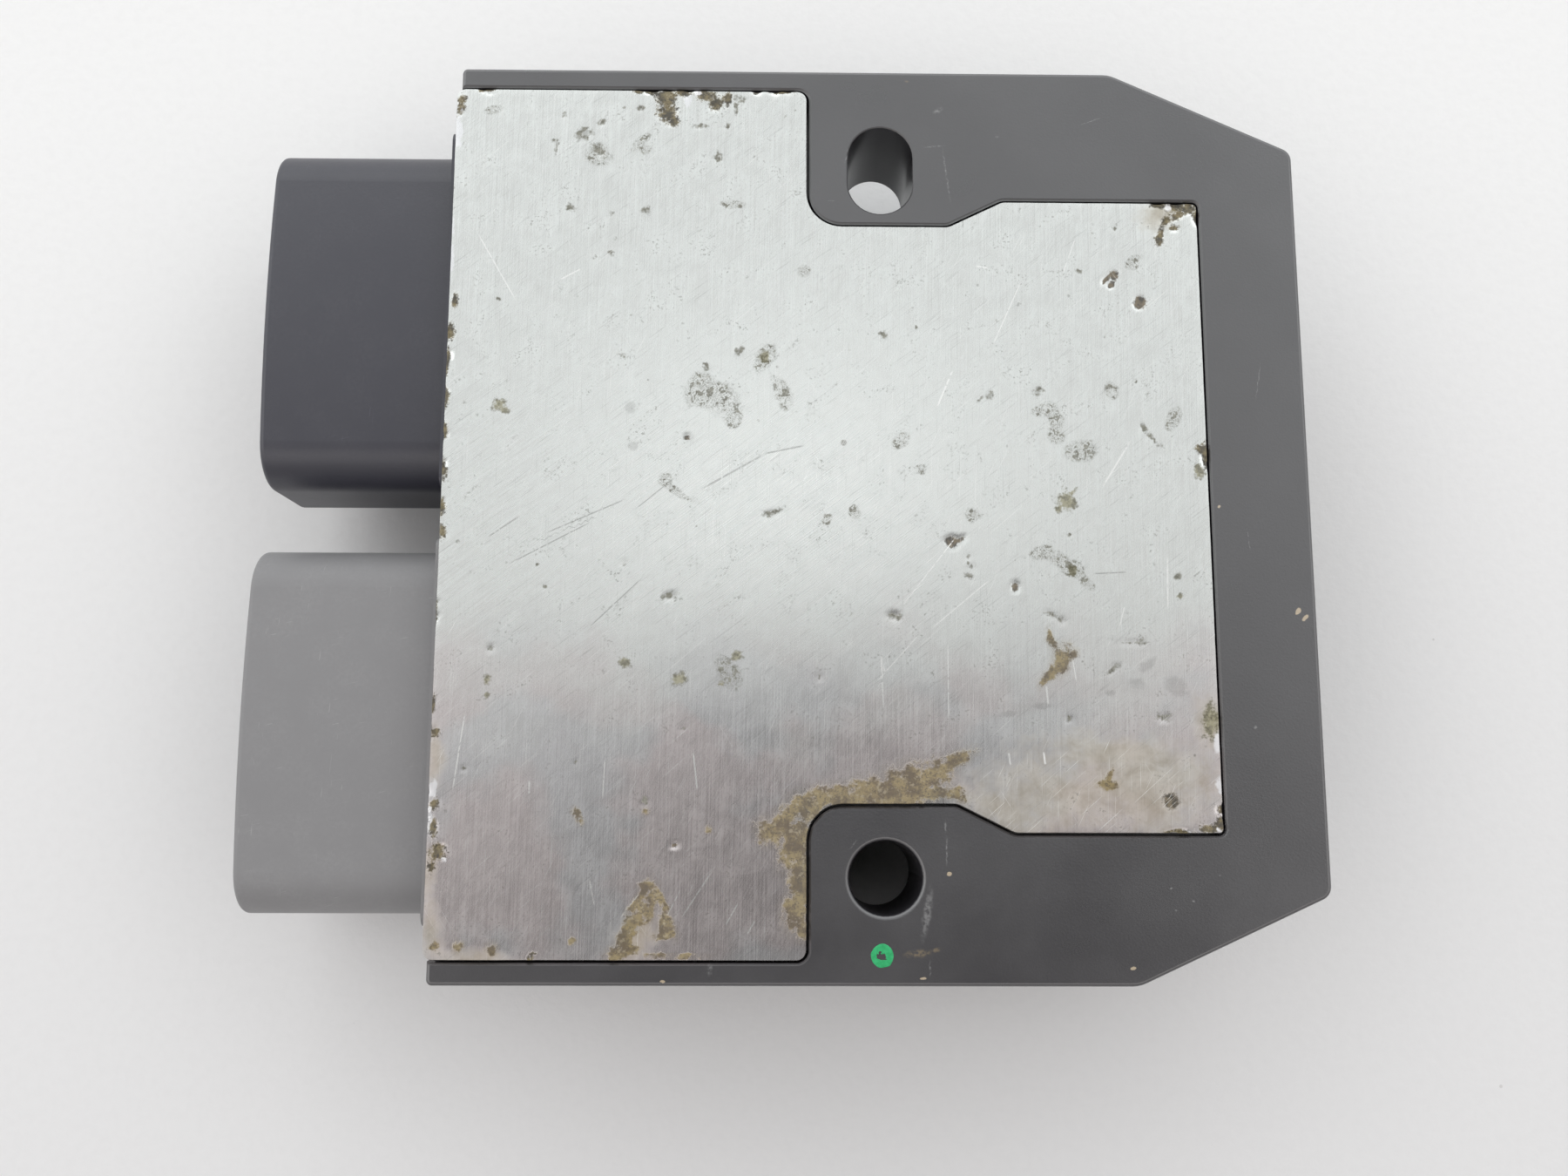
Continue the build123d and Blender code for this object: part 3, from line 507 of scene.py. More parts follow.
def worn_plate():
    """The base plate as a fine mesh with pits, crusts and nicked edges, carrying the places of its wear."""
    ring = rim_of_plate()
    count = len(ring)
    outward = np.roll(ring, -1, axis=0) - np.roll(ring, 1, axis=0)
    outward = np.stack([outward[:, 1], -outward[:, 0]], axis=1)
    outward /= np.linalg.norm(outward, axis=1)[:, None]
    low, high = (corner[2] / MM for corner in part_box("base_plate"))
    face_points, faces = plate_face(ring - outward * RIM_INSET)
    at = face_points + np.stack([noisy(face_points, 0.9, 1.5), noisy(face_points, 0.9, 8.5)], axis=1) * RAGGED
    crust = closeness(at, CRUST)
    ragged = noisy(face_points, 0.5, 3.5)
    lumps = np.abs(noisy(face_points, 0.7, 4.5))
    height = high - CRUST_HEIGHT + CRUST_HEIGHT * step_up(crust + 0.3 * ragged, 0.0, 0.5) * lumps
    height -= PIT_DEPTH * step_up(closeness(at, HARD_PITS), -0.1, 0.7)
    height -= 0.07 * step_up(closeness(at, DARK_PITS), -0.1, 0.8) * (0.5 + ragged)
    height -= PIT_DEPTH * step_up(crust, 0.0, 0.6) * step_up(noisy(face_points, 0.9, 6.5), 0.0, 0.4)
    height = np.minimum(height, high)
    worn = step_up(closeness(ring, CRUST + BARE_CHIPS), -0.3, 0.7)
    nicked = step_up(noisy(ring, 0.9, 2.5), -0.25, 0.35)
    bite = 0.03 + 0.02 * noisy(ring, 0.8, 9.5) + NICK_DEPTH * worn * nicked
    coordinates = [(*point, z) for point, z in zip(face_points, height)]
    for index in range(count):
        inward = outward[index] * bite[index]
        coordinates[index] = (*(face_points[index] - 0.7 * inward), height[index] - 0.2 * bite[index])
    rows = [list(range(count))]
    for share, drop, sunk, pulled in (*EDGE_ROWS, (0.0, high - low, 0.0, 0.0)):
        rows.append(list(range(len(coordinates), len(coordinates) + count)))
        for index in range(count):
            inset = RIM_INSET * share + pulled * bite[index]
            coordinates.append((*(ring[index] - outward[index] * inset), high - drop - sunk * bite[index]))
    for upper, under in zip(rows, rows[1:]):
        for index in range(count):
            after = (index + 1) % count
            faces.append((upper[index], under[index], under[after], upper[after]))
    faces.append(tuple(reversed(rows[-1])))
    data = bpy.data.meshes.new("worn_base_plate")
    data.from_pydata([(x * MM, y * MM, z * MM) for x, y, z in coordinates], [], faces)
    data.update()
    everywhere = np.array(coordinates)[:, :2]
    deep = high - np.array(coordinates)[:, 2]
    at = everywhere + np.stack([noisy(everywhere, 0.9, 1.5), noisy(everywhere, 0.9, 8.5)], axis=1) * RAGGED
    drift = np.stack([noisy(everywhere, 4.0, 5.5), noisy(everywhere, 4.0, 7.5)], axis=1)
    wide = everywhere + drift * HAZE_DRIFT
    ochre = closeness(at, OCHRE) - 0.5 * deep
    crust = closeness(at, CRUST) - 0.5 * deep
    chips = closeness(at, BARE_CHIPS) - 1.5 * deep
    empty = np.zeros(len(everywhere))
    fields = {
        "wear_spots": (closeness(at, DARK_PITS), closeness(at, HARD_PITS), closeness(at, CLUSTERS)),
        "wear_stains": (ochre, crust, closeness(at, OLIVE) - deep),
        "wear_films": (closeness(wide, HAZE), closeness(at, GREY_FLATS), chips),
        "wear_bright": (*line_fields(everywhere, BRIGHT_SCRATCHES), empty),
        "wear_dark": (*line_fields(everywhere, DARK_SCRATCHES), empty),
    }
    for name, columns in fields.items():
        layer = data.attributes.new(name, "FLOAT_VECTOR", "POINT")
        layer.data.foreach_set("vector", np.stack(columns, axis=1).astype(np.float32).ravel())
    for polygon in data.polygons:
        polygon.use_smooth = True
    data.set_sharp_from_angle(angle=math.radians(SMOOTH_BELOW))
    piece = bpy.data.objects.new("worn_base_plate", data)
    bpy.context.collection.objects.link(piece)
    piece.data.materials.append(LOOKS["plate_aluminium"].material)
    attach(piece, "root")
    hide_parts("base_plate")


def metal_tone(look, clouds, patches):
    """Colour of the bare metal with its mill streaks and a painted darker reflection towards -Y, and how
    strong the streaks are.
    """
    x, y = look.axis(0), look.axis(1)
    slant_zone = look.times(look.ramp(y, 16, 5), look.ramp(y, -20, -6), look.ramp(x, 24, 6))
    upright = look.noise(1.0, detail=3, roughness=0.7, at=look.turned(89, 0.10, 8.0))
    steep = look.noise(1.0, detail=2, roughness=0.7, at=look.turned(62, 0.12, 6.0))
    slanted = look.noise(1.0, detail=3, roughness=0.7, at=look.turned(37, 0.11, 6.0))
    streaks = look.blend(slant_zone, look.blend(0.3, upright, steep), slanted)
    brushed = look.times(look.ramp(streaks, 0.3, 0.7), 0.55)
    shade = look.math("ADD", brushed, look.times(look.ramp(patches, 0.3, 0.72), 0.22))
    shade = look.math("ADD", shade, look.times(look.ramp(look.noise(1.0, detail=4), 0.3, 0.7), 0.15))
    metal = look.mix(shade, (0.73, 0.735, 0.715), (0.875, 0.905, 0.885))
    # Painted reflection: towards -Y, past a blotchy edge, the metal's colour turns a darker mauve and bluish
    # grey. This stands in for the dark reflection on the plate's lower part.
    low = look.ramp(look.math("ADD", y, look.times(clouds, 22.0)), 3.0, -14.0)
    mauve = look.mix(shade, (0.64, 0.572, 0.572), (0.75, 0.68, 0.68))
    bluish = look.mix(shade, (0.60, 0.59, 0.60), (0.71, 0.70, 0.715))
    overlay = look.mix(look.ramp(look.noise(13.0, detail=3), 0.46, 0.58), mauve, bluish)
    return look.mix(look.times(low, 0.85), metal, overlay), streaks


def frayed(look, field, fray, by, low, high):
    """Mask from a stored field, with its outline frayed by noise."""
    return look.ramp(look.math("MULTIPLY_ADD", look.math("SUBTRACT", fray, 0.5), by, field), low, high)


def dark_marks(look, clouds, patches, grit, crumbs):
    """Scattered dots, clusters of thin worm-like marks, freckles and the larger pits: (share, pits)."""
    dark_field, hard_field, cluster_field = look.stored("wear_spots")
    dots = look.most(look.specks(1.7, 0.24, 0.13), look.specks(3.1, 0.40, 0.12), look.specks(0.9, 0.15, 0.06))
    dots = look.times(dots, look.ramp(clouds, 0.35, 0.6, 0.3, 1.0), look.ramp(grit, 0.36, 0.56))
    worms = look.ramp(look.math("ABSOLUTE", look.math("SUBTRACT", crumbs, 0.45)), 0.03, 0.008)
    worms = look.most(look.times(worms, 0.7), look.ramp(crumbs, 0.52, 0.565))
    clusters = frayed(look, cluster_field, patches, 1.6, -0.35, 0.15)
    clusters = look.times(clusters, look.ramp(worms, 0.0, 1.0, 0.06, 1.0))
    freckles = look.times(look.ramp(patches, 0.50, 0.66), look.ramp(grit, 0.55, 0.66), 0.5)
    pits = frayed(look, dark_field, crumbs, 2.2, 0.0, 0.6)
    pits = look.times(pits, look.ramp(crumbs, 0.40, 0.55, 0.5, 1.0))
    hard = frayed(look, hard_field, grit, 0.9, -0.05, 0.3)
    return look.most(look.times(dots, 0.6), look.times(clusters, 0.85), freckles, look.times(pits, 0.9)), hard


def scratches(look):
    """Random hairlines and the placed bright scratches: (bright share, dark share)."""
    hairs = look.most(look.times(look.hairs(88, 0.07, 7.0, 0.69), 0.7), look.hairs(41, 0.07, 6.0, 0.71))
    hairs = look.most(hairs, look.times(look.hairs(64, 0.08, 5.0, 0.72), 0.8))
    hairs = look.most(hairs, look.times(look.hairs(-58, 0.07, 6.0, 0.74), 0.8))
    broken = look.ramp(look.noise(0.5, detail=2), 0.3, 0.45)
    side, end, _ = look.stored("wear_bright")
    bright = look.times(look.ramp(look.math("ABSOLUTE", side), 1.2, 0.4), look.ramp(end, 0.0, 0.25), broken)
    side, end, _ = look.stored("wear_dark")
    dark = look.times(look.ramp(look.math("ABSOLUTE", side), 1.3, 0.3), look.ramp(end, 0.0, 0.3), broken)
    faint = look.most(look.hairs(37, 0.09, 4.0, 0.66), look.times(look.hairs(90, 0.08, 6.0, 0.67), 0.7))
    return look.most(look.times(hairs, 0.9), bright), look.most(dark, look.times(faint, 0.5))


def worn_aluminium():
    """Milled aluminium that has been out in the weather: scratched, pitted, and stained ochre and brown."""
    look = Look("plate_aluminium")
    clouds = look.noise(9.0, detail=5)
    patches = look.noise(2.6, detail=5, roughness=0.62, distortion=0.5)
    fine = look.noise(0.42, detail=4, roughness=0.65)
    mottle = look.noise(0.9, detail=5, roughness=0.6)
    # The colour from metal_tone carries painted reflection: the plate's lower part is darkened towards -Y.
    metal, streaks = metal_tone(look, clouds, patches)

    haze_field, flat_field, chip_field = look.stored("wear_films")
    haze_field = look.math("MULTIPLY_ADD", look.math("SUBTRACT", clouds, 0.5), 1.2, haze_field)
    haze = look.times(frayed(look, haze_field, mottle, 1.4, -0.5, 0.9), 0.66)
    overlay = look.mix(look.ramp(patches, 0.3, 0.7), (0.315, 0.258, 0.165), (0.49, 0.435, 0.335))
    overlay = look.mix(look.times(look.ramp(mottle, 0.52, 0.66), 0.35), overlay, (0.21, 0.165, 0.085))
    metal = look.mix(look.times(haze, look.ramp(patches, 0.25, 0.6, 1.0, 0.8)), metal, overlay)
    flats = frayed(look, flat_field, fine, 1.2, 0.0, 0.5)
    metal = look.mix(look.times(flats, 0.26), metal, (0.30, 0.295, 0.285))

    grit = look.noise(0.24, detail=3, roughness=0.7)
    crumbs = look.noise(0.55, detail=4, roughness=0.68)
    dark, hard = dark_marks(look, clouds, patches, grit, crumbs)
    mark_colour = look.mix(look.ramp(grit, 0.4, 0.6), (0.26, 0.255, 0.21), (0.115, 0.11, 0.08))
    metal = look.mix(dark, metal, mark_colour)
    pit_floor = look.mix(look.ramp(crumbs, 0.42, 0.58), (0.040, 0.032, 0.020), (0.165, 0.128, 0.075))
    metal = look.mix(look.times(hard, 0.9), metal, pit_floor)
    bright, thin_dark = scratches(look)
    metal = look.mix(look.times(thin_dark, 0.5), metal, (0.22, 0.22, 0.21))
    metal = look.mix(bright, metal, (0.97, 0.97, 0.95))

    ochre_field, crust_field, olive_field = look.stored("wear_stains")
    speckle = look.ramp(grit, 0.36, 0.62)
    olive = look.times(frayed(look, olive_field, crumbs, 2.6, -0.1, 0.5), 0.85)
    olive_colour = look.mix(look.ramp(crumbs, 0.58, 0.46), (0.075, 0.068, 0.028), (0.30, 0.28, 0.17))
    metal = look.mix(olive, metal, look.mix(look.times(speckle, 0.4), olive_colour, (0.40, 0.38, 0.27)))
    ochre_field = look.math("MULTIPLY_ADD", look.math("SUBTRACT", grit, 0.5), 0.9, ochre_field)
    tan = look.times(look.ramp(ochre_field, -0.7, 0.2), 0.25)
    metal = look.mix(tan, metal, (0.46, 0.38, 0.25))
    ochre = frayed(look, ochre_field, mottle, 2.2, -0.15, 0.35)
    blotch = look.noise(1.5, detail=5, roughness=0.65)
    ochre_colour = look.mix(look.ramp(blotch, 0.40, 0.60), (0.088, 0.058, 0.018), (0.262, 0.200, 0.080))
    ochre_grit = look.times(look.ramp(grit, 0.50, 0.62), 0.75)
    ochre_colour = look.mix(ochre_grit, ochre_colour, (0.060, 0.042, 0.018))
    ochre_colour = look.mix(look.times(look.ramp(crumbs, 0.45, 0.33), 0.55), ochre_colour, (0.43, 0.37, 0.25))
    metal = look.mix(look.times(ochre, 0.85), metal, ochre_colour)
    crust = frayed(look, crust_field, grit, 1.7, -0.1, 0.4)
    crust_colour = look.mix(look.ramp(mottle, 0.38, 0.60), (0.045, 0.035, 0.016), (0.20, 0.158, 0.070))
    crust_grit = look.times(look.ramp(grit, 0.54, 0.66), 0.85)
    crust_colour = look.mix(crust_grit, crust_colour, (0.018, 0.016, 0.012))
    crust_colour = look.mix(look.times(look.ramp(grit, 0.42, 0.32), 0.6), crust_colour, (0.42, 0.37, 0.25))
    metal = look.mix(look.times(crust, 0.92), metal, crust_colour)
    chips = frayed(look, chip_field, fine, 0.9, -0.1, 0.25)
    metal = look.mix(look.times(chips, 0.8), metal, (0.93, 0.93, 0.95))

    covered = look.times(look.ramp(look.most(ochre, crust, olive, hard), 0.35, 1.0), 0.9)
    covered = look.most(covered, look.times(haze, 0.5), look.times(look.ramp(dark, 0.3, 1.0), 0.7))
    look.set(base_color=metal, metallic=look.math("MULTIPLY_ADD", covered, -0.97, 0.97))
    sheen = look.ramp(streaks, 0.3, 0.7, 0.22, 0.30)
    sheen = look.math("ADD", sheen, look.ramp(patches, 0.35, 0.7, 0.0, 0.04))
    look.set(roughness=look.blend(covered, sheen, 0.8))
    skin = look.math("ADD", look.times(streaks, 0.7), look.times(fine, 0.3))
    skin = look.bump(look.noise(7.0, detail=2), 0.02, under=look.bump(skin, 0.0022))
    look.set(normal=look.bump(look.times(grit, look.most(crust, ochre, hard)), 0.025, under=skin))
    return look


# ---- moulded pieces ----
def moulded_plastic(name, colour, dust, roughness=0.52, grain=0.02, specular=0.5):
    """Moulded plastic with a fine eroded grain, a thin film of dust, small scuffs and pale specks."""
    look = Look(name)
    clouds = look.noise(14.0, detail=4)
    patches = look.noise(3.0, detail=4)
    fine = look.noise(0.35, detail=3, roughness=0.6)
    dusted = look.ramp(clouds, 0.3, 0.7, 0.5, 1.0)
    overlay = look.times(dusted, look.ramp(patches, 0.25, 0.75), look.ramp(fine, 0.25, 0.75))
    body = look.mix(look.times(overlay, 0.55), colour, dust)
    rub = look.times(look.hairs(86, 0.09, 2.5, 0.73), look.ramp(patches, 0.5, 0.65))
    rub = look.most(rub, look.times(look.hairs(12, 0.08, 2.0, 0.74), look.ramp(patches, 0.5, 0.62)))
    flecks = look.times(look.specks(2.4, 0.13, 0.05), 0.8)
    pale = look.most(look.times(rub, 0.22), look.times(flecks, 0.6))
    body = look.mix(pale, body, tuple(min(1.0, 4.5 * part + 0.05) for part in colour))
    look.set(base_color=body, specular=specular)
    look.set(roughness=look.ramp(clouds, 0.25, 0.75, roughness - 0.04, roughness + 0.05))
    height = look.math("ADD", look.times(look.noise(0.2, detail=2), 0.8), look.times(fine, 0.4))
    look.set(normal=look.bump(look.noise(9.0, detail=1), 0.03, under=look.bump(height, grain)))
    return look


def dusty_housing():
    """The housing's charcoal plastic with the marks that handling left on its mounting face."""
    charcoal, dust = (0.0118, 0.0104, 0.0142), (0.026, 0.0238, 0.0295)
    look = moulded_plastic("housing_plastic", charcoal, dust, 0.30, 0.010, 1.0)
    look.set(ior=1.8)
    fine = look.noise(0.3, detail=3)
    body = look.shader.inputs["Base Color"].links[0].from_socket
    smear = look.times(look.ramp(look.marks(0.3, HOUSING_SMEARS), 0.0, 0.7), look.ramp(fine, 0.35, 0.6))
    body = look.mix(look.times(smear, 0.8), body, (0.17, 0.125, 0.065))
    scuffs = look.times(look.ramp(look.marks(0.3, HOUSING_SCUFFS), 0.0, 0.8), look.ramp(fine, 0.35, 0.65))
    body = look.mix(look.times(scuffs, 0.42), body, (0.38, 0.38, 0.38))
    flecks = look.ramp(look.marks(0.3, HOUSING_FLECKS), 0.0, 0.3)
    look.set(base_color=look.mix(look.times(flecks, 0.9), body, (0.50, 0.40, 0.27)))
    return look


HOUSING_SMEARS = [(12.6, -39.7, 1.6, 0.45, 5), (14.2, -39.4, 0.6, 0.25, 10), (12.4, 41.5, 0.3, 0.15, 0)]
HOUSING_SCUFFS = [
    (16.1, 32.0, 3.4, 0.12, -83), (15.0, 34.9, 1.2, 0.12, 5), (15.2, -30.8, 1.9, 0.12, 90),
    (15.1, -28.9, 0.9, 0.1, 88), (7.1, 34.9, 1.3, 0.16, 55), (6.6, 33.6, 0.6, 0.14, 75),
    (5.2, 29.4, 0.5, 0.07, 10), (15.4, 38.6, 0.7, 0.35, 30), (34.9, -34.1, 0.14), (36.8, -35.2, 0.15),
    (39.2, -33.0, 0.12), (35.2, -36.0, 0.12), (13.4, -36.3, 3.0, 0.5, 80), (21.0, 36.0, 0.25),
    (13.6, -41.0, 1.0, 0.09, 90), (-5.5, -41.0, 0.8, 0.3, 90), (43.0, -20.0, 0.2),
    (7.0, -30.4, 0.8, 0.1, 50), (44.8, 12.0, 2.4, 0.06, 80), (43.2, -3.0, 1.8, 0.05, 95),
    (30.0, 37.6, 1.6, 0.06, 20),
]
HOUSING_FLECKS = [
    (15.4, -32.9, 0.27, 0.2, 20), (47.4, -9.5, 0.4, 0.22, 60), (48.0, -10.1, 0.42, 0.2, 50),
    (13.0, -41.8, 0.35, 0.12, 0), (-9.6, -42.1, 0.3, 0.1, 0), (31.3, -40.9, 0.3, 0.14, 20),
    (44.6, -37.4, 0.3, 0.12, 25), (40.6, 0.1, 0.14),
]


def inner(name, first, second, size=0.8, roughness=0.45, metallic=0.0, depth=0.01):
    """Finish of a piece inside the module: two close shades, a soft grain and uneven gloss."""
    look = Look(name)
    patches = look.noise(size, detail=4)
    grain = look.noise(size / 4, detail=2)
    look.set(base_color=look.mix(look.ramp(patches, 0.3, 0.7), first, second), metallic=metallic)
    look.set(roughness=look.ramp(grain, 0.2, 0.8, roughness - 0.07, roughness + 0.08))
    look.set(normal=look.bump(grain, depth))
    return look


def board_laminate():
    """Green solder mask with copper tracks faintly raised under it."""
    look = Look("board_laminate")
    x, y = look.axis(0), look.axis(1)
    bent = look.math("ADD", y, look.times(look.noise(14.0, detail=0), 9.0))
    lanes = look.math("FRACT", look.times(bent, 0.9))
    routed = look.ramp(look.noise(8.0, detail=0), 0.42, 0.46)
    tracks = look.times(look.ramp(lanes, 0.30, 0.38), look.ramp(lanes, 0.74, 0.66), routed)
    weave = look.times(look.math("SINE", look.times(x, 6.0)), look.math("SINE", look.times(y, 6.0)))
    shade = look.math("ADD", look.times(tracks, 0.8), look.times(weave, 0.1))
    look.set(base_color=look.mix(shade, (0.010, 0.085, 0.035), (0.035, 0.19, 0.075)), roughness=0.3, coat=0.3)
    look.set(normal=look.bump(shade, 0.03))
    return look


# ---- small pieces on the mounting face ----
def paint_dot():
    """Round inspector's dab of green paint beside the round hole, with a chip out of its middle."""
    middle, radius, rings, spokes = Vector((9.48, -39.9, 26.0)), 1.0, 22, 88
    mesh = bmesh.new()
    rows = []
    for ring in range(rings + 1):
        share = ring / rings
        row = []
        for spoke in range(spokes):
            turn = 2 * math.pi * spoke / spokes
            outward = Vector((math.cos(turn), math.sin(turn), 0.0))
            reach = radius * share * (1 + 0.07 * noise.noise(outward * 1.6) + 0.02 * noise.noise(outward * 9))
            height = 0.012 + 0.03 * (1 - share ** 6) + 0.006 * noise.noise(outward * reach * 4)
            row.append(mesh.verts.new((middle + outward * reach + Vector((0, 0, height))) * MM))
        rows.append(row)
    for inside, outside in zip(rows[1:], rows[2:]):
        for index in range(spokes):
            after = (index + 1) % spokes
            mesh.faces.new((inside[index], outside[index], outside[after], inside[after]))
    mesh.faces.new(rows[1])
    chipped = [face for face in mesh.faces if in_chip(face.calc_center_median() / MM - middle)]
    bmesh.ops.delete(mesh, geom=chipped, context="FACES")
    bmesh.ops.delete(mesh, geom=[vert for vert in mesh.verts if not vert.link_faces], context="VERTS")
    skirt(mesh, 26.001)
    piece = placed(mesh, "paint_dot")
    green = inner("green_paint", (0.018, 0.36, 0.12), (0.035, 0.46, 0.17), 0.3, 0.4, 0.0, 0.01)
    piece.data.materials.append(green.material)


def in_chip(away):
    """Whether a place, in millimetres from the dot's middle, lies in the ragged wedge that flaked off."""
    wobble = 0.09 * noise.noise(Vector((away.x * 7, away.y * 7, 3.0)))
    wedge = away.x > -0.50 and away.y < 0.18 + wobble and away.y > -0.42 - 0.5 * away.x + wobble
    leg = abs(away.x + 0.22) < 0.10 + wobble and -0.1 < away.y < 0.40
    return (wedge and away.x < 0.26 + wobble - 0.3 * away.y and away.y > -0.34) or leg


def skirt(mesh, bottom):
    """Walls from the open edges straight down to a height."""
    edges = [edge for edge in mesh.edges if edge.is_boundary]
    made = bmesh.ops.extrude_edge_only(mesh, edges=edges)["geom"]
    for part in made:
        if isinstance(part, bmesh.types.BMVert):
            part.co.z = bottom * MM


def placed(mesh, name):
    """Turns the built mesh into a piece that rides with the module's one body."""
    bmesh.ops.recalc_face_normals(mesh, faces=mesh.faces[:])
    data = bpy.data.meshes.new(name)
    mesh.to_mesh(data)
    mesh.free()
    for polygon in data.polygons:
        polygon.use_smooth = True
    piece = bpy.data.objects.new(name, data)
    bpy.context.collection.objects.link(piece)
    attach(piece, "root")
    return piece


BLACK, BLACK_DUST = (0.027, 0.027, 0.041), (0.050, 0.050, 0.064)
GREY, GREY_DUST = (0.245, 0.242, 0.248), (0.30, 0.297, 0.302)
LOOKS = {
    "housing_plastic": dusty_housing(),
    "black_plastic": moulded_plastic("black_plastic", BLACK, BLACK_DUST, 0.40, 0.014, 0.9),
    "grey_plastic": moulded_plastic("grey_plastic", GREY, GREY_DUST, 0.46, 0.014, 0.5),
    "plate_aluminium": worn_aluminium(),
    "sealant": inner("sealant", (0.016, 0.016, 0.018), (0.03, 0.03, 0.032), 0.9, 0.45),
    "pin_plating": inner("pin_plating", (0.70, 0.66, 0.55), (0.80, 0.78, 0.70), 0.5, 0.26, 1.0, 0.004),
    "pad_silicone": inner("pad_silicone", (0.33, 0.38, 0.47), (0.40, 0.45, 0.54), 1.5, 0.7),
    "board_laminate": board_laminate(),
    "chip_epoxy": inner("chip_epoxy", (0.022, 0.022, 0.024), (0.036, 0.036, 0.038), 0.5, 0.55, 0.0, 0.02),
    "tinned_copper": inner("tinned_copper", (0.62, 0.61, 0.58), (0.74, 0.73, 0.70), 0.8, 0.34, 1.0, 0.006),
    "can_metal": inner("can_metal", (0.68, 0.68, 0.69), (0.78, 0.78, 0.79), 0.9, 0.3, 1.0, 0.004),
    "opto_body": inner("opto_body", (0.70, 0.69, 0.64), (0.78, 0.77, 0.73), 0.6, 0.5),
    "shunt_alloy": inner("shunt_alloy", (0.42, 0.37, 0.33), (0.52, 0.47, 0.43), 0.6, 0.36, 1.0),
    "ferrite": inner("ferrite", (0.05, 0.05, 0.055), (0.08, 0.08, 0.085), 0.5, 0.6, 0.0, 0.03),
    "winding_copper": inner("winding_copper", (0.55, 0.22, 0.09), (0.70, 0.33, 0.16), 0.5, 0.3, 1.0),
    "capacitor_ceramic": inner("capacitor_ceramic", (0.40, 0.26, 0.14), (0.50, 0.34, 0.20), 0.4, 0.5),
    "resistor_body": inner("resistor_body", (0.03, 0.03, 0.034), (0.05, 0.05, 0.055), 0.3, 0.35),
    "label_film": inner("label_film", (0.70, 0.70, 0.695), (0.80, 0.80, 0.795), 3.0, 0.34, 0.3, 0.004),
}
slots = {row["node"]: row["material_slot"] for row in frame["record"]["subparts"]}
for node, piece in frame["nodes"].items():
    piece.data.materials.clear()
    piece.data.materials.append(LOOKS[slots[node]].material)
paint_dot()
worn_plate()


# ---- floor, light and camera ----
def floor():
    """Plain pale laminate with a faint pebbled grain, a few tiny specks, and painted shade that darkens it
    towards -Y.
    """
    bpy.ops.mesh.primitive_plane_add(size=FLOOR_SIZE, location=(0, 0, -0.05 * MM))
    ground = bpy.context.object
    ground.name = "floor"
    look = Look("floor")
    grain = look.noise(1.1, detail=3)
    specks = look.times(look.specks(4.0, 0.22, 0.12), 0.30)
    # Painted shade: the floor's colour goes from pale at +Y to darker at -Y. This stands in for the light
    # falling off towards the bottom.
    painted_falloff = look.ramp(look.axis(1), -75.0, 75.0)
    pale = look.mix(painted_falloff, (0.80, 0.795, 0.80), (0.93, 0.93, 0.93))
    pale = look.mix(look.times(look.ramp(grain, 0.35, 0.75), 0.04), pale, (0.5, 0.5, 0.5))
    look.set(base_color=look.mix(specks, pale, (0.35, 0.33, 0.31)))
    look.set(roughness=0.55, normal=look.bump(grain, 0.05))
    ground.data.materials.append(look.material)


# Brightness of the surroundings
CEILING = (-0.02, 0.21, 0.19, 0.78)       # ramp along y: from, to, brightness at each
GLOW = 0.74
SHADE = 0.27
SIDES = (1.74, 1.0, -0.30)                # level, and its slopes along y and x

# Where the camera is, in millimetres from the mounting face's middle, and how it is turned
EYE = (-0.61, -25.83, 121.2)
AHEAD = (0.01167, 0.14859, -0.98883)
UPWARD = (-0.0048, 0.98889, 0.14854)
LENS = 31.15


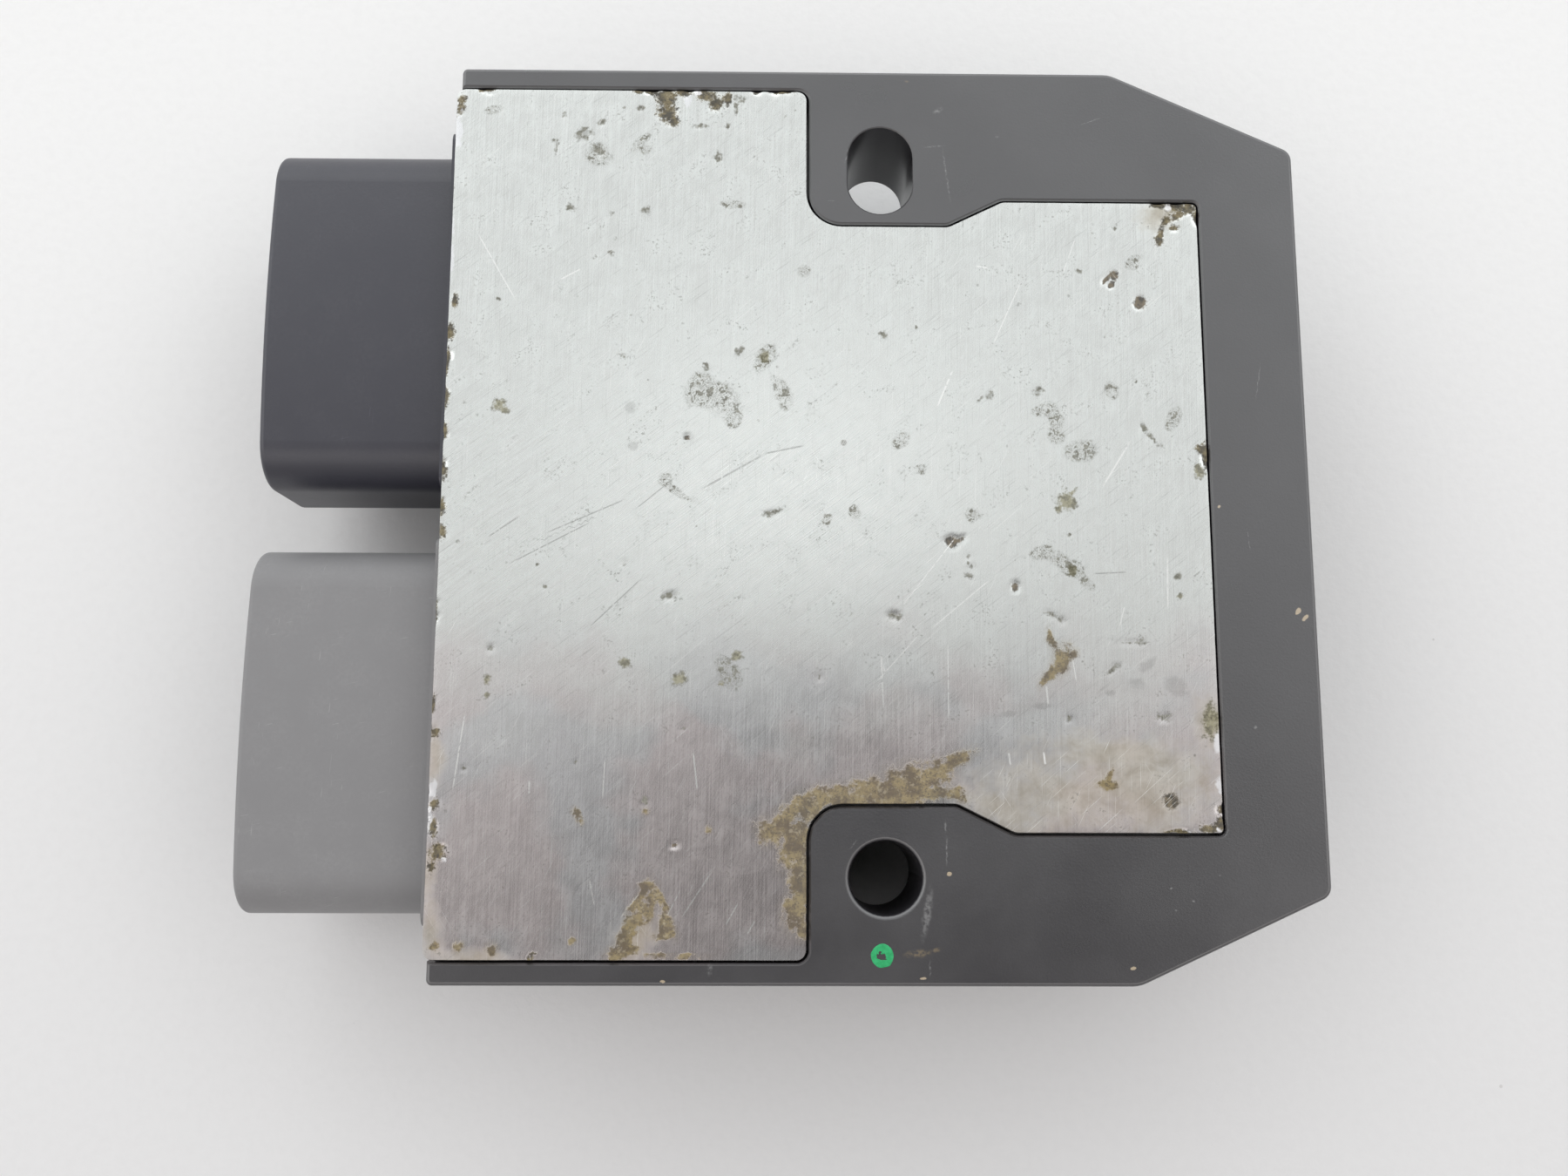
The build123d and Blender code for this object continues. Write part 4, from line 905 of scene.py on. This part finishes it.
def world():
    """Soft room light: a pale ceiling that is brighter towards +Y, with broad bright sides low down."""
    scene_world = bpy.data.worlds.new("world")
    bpy.context.scene.world = scene_world
    scene_world.use_nodes = True
    sky = Graph(scene_world.node_tree, "Generated")
    split = sky.nodes.new("ShaderNodeSeparateXYZ")
    sky.feed(split.inputs[0], sky.place)
    x, y = split.outputs[0], split.outputs[1]
    level = sky.vector("MULTIPLY", sky.place, (1.0, 1.0, 0.0))
    beside = sky.math("ABSOLUTE", sky.math("SUBTRACT", x, 0.04))
    ceiling = sky.ramp(sky.math("MULTIPLY_ADD", beside, 0.35, y), *CEILING)
    squeezed = sky.vector("MULTIPLY", sky.place, (0.6, 1.0, 0.0))
    glow = sky.vector("DISTANCE", squeezed, (0.01, 0.205, 0.0), out=1)
    ceiling = sky.math("ADD", ceiling, sky.ramp(glow, 0.14, 0.03, 0.0, GLOW))
    shade = sky.vector("DISTANCE", level, (0.05, 0.035, 0.0), out=1)
    ceiling = sky.math("SUBTRACT", ceiling, sky.ramp(shade, 0.18, 0.06, 0.0, SHADE))
    side = sky.math("ADD", SIDES[0], sky.math("ADD", sky.times(y, SIDES[1]), sky.times(x, SIDES[2])))
    side = sky.times(side, sky.ramp(split.outputs[2], 0.35, 0.80, 0.45, 1.0))
    share = sky.ramp(sky.vector("DISTANCE", level, (0.0, 0.13, 0.0), out=1), 0.45, 0.68)
    background = sky.nodes["Background"]
    sky.feed(background.inputs["Strength"], sky.blend(share, ceiling, side))
    tint = sky.mix(sky.ramp(y, -0.2, 0.3), (1.0, 0.97, 0.955), (0.975, 0.995, 1.0))
    sky.feed(background.inputs["Color"], tint)


def camera():
    """Held by hand a little below the middle of the base plate, leaning slightly towards +Y."""
    lens = bpy.data.cameras.new("camera")
    lens.sensor_width = 36.0
    lens.lens = LENS
    lens.clip_start = 0.01
    holder = bpy.data.objects.new("camera", lens)
    ahead = Vector(AHEAD).normalized()
    right = ahead.cross(Vector(UPWARD)).normalized()
    up = right.cross(ahead)
    place = Vector((EYE[0] * MM, EYE[1] * MM, BASE_Z + EYE[2] * MM))
    axes = Matrix((right, up, -ahead)).transposed().to_4x4()
    holder.matrix_world = Matrix.Translation(place) @ axes
    bpy.context.collection.objects.link(holder)
    bpy.context.scene.camera = holder


bpy.context.scene.view_settings.view_transform = "Standard"
floor()
world()
camera()
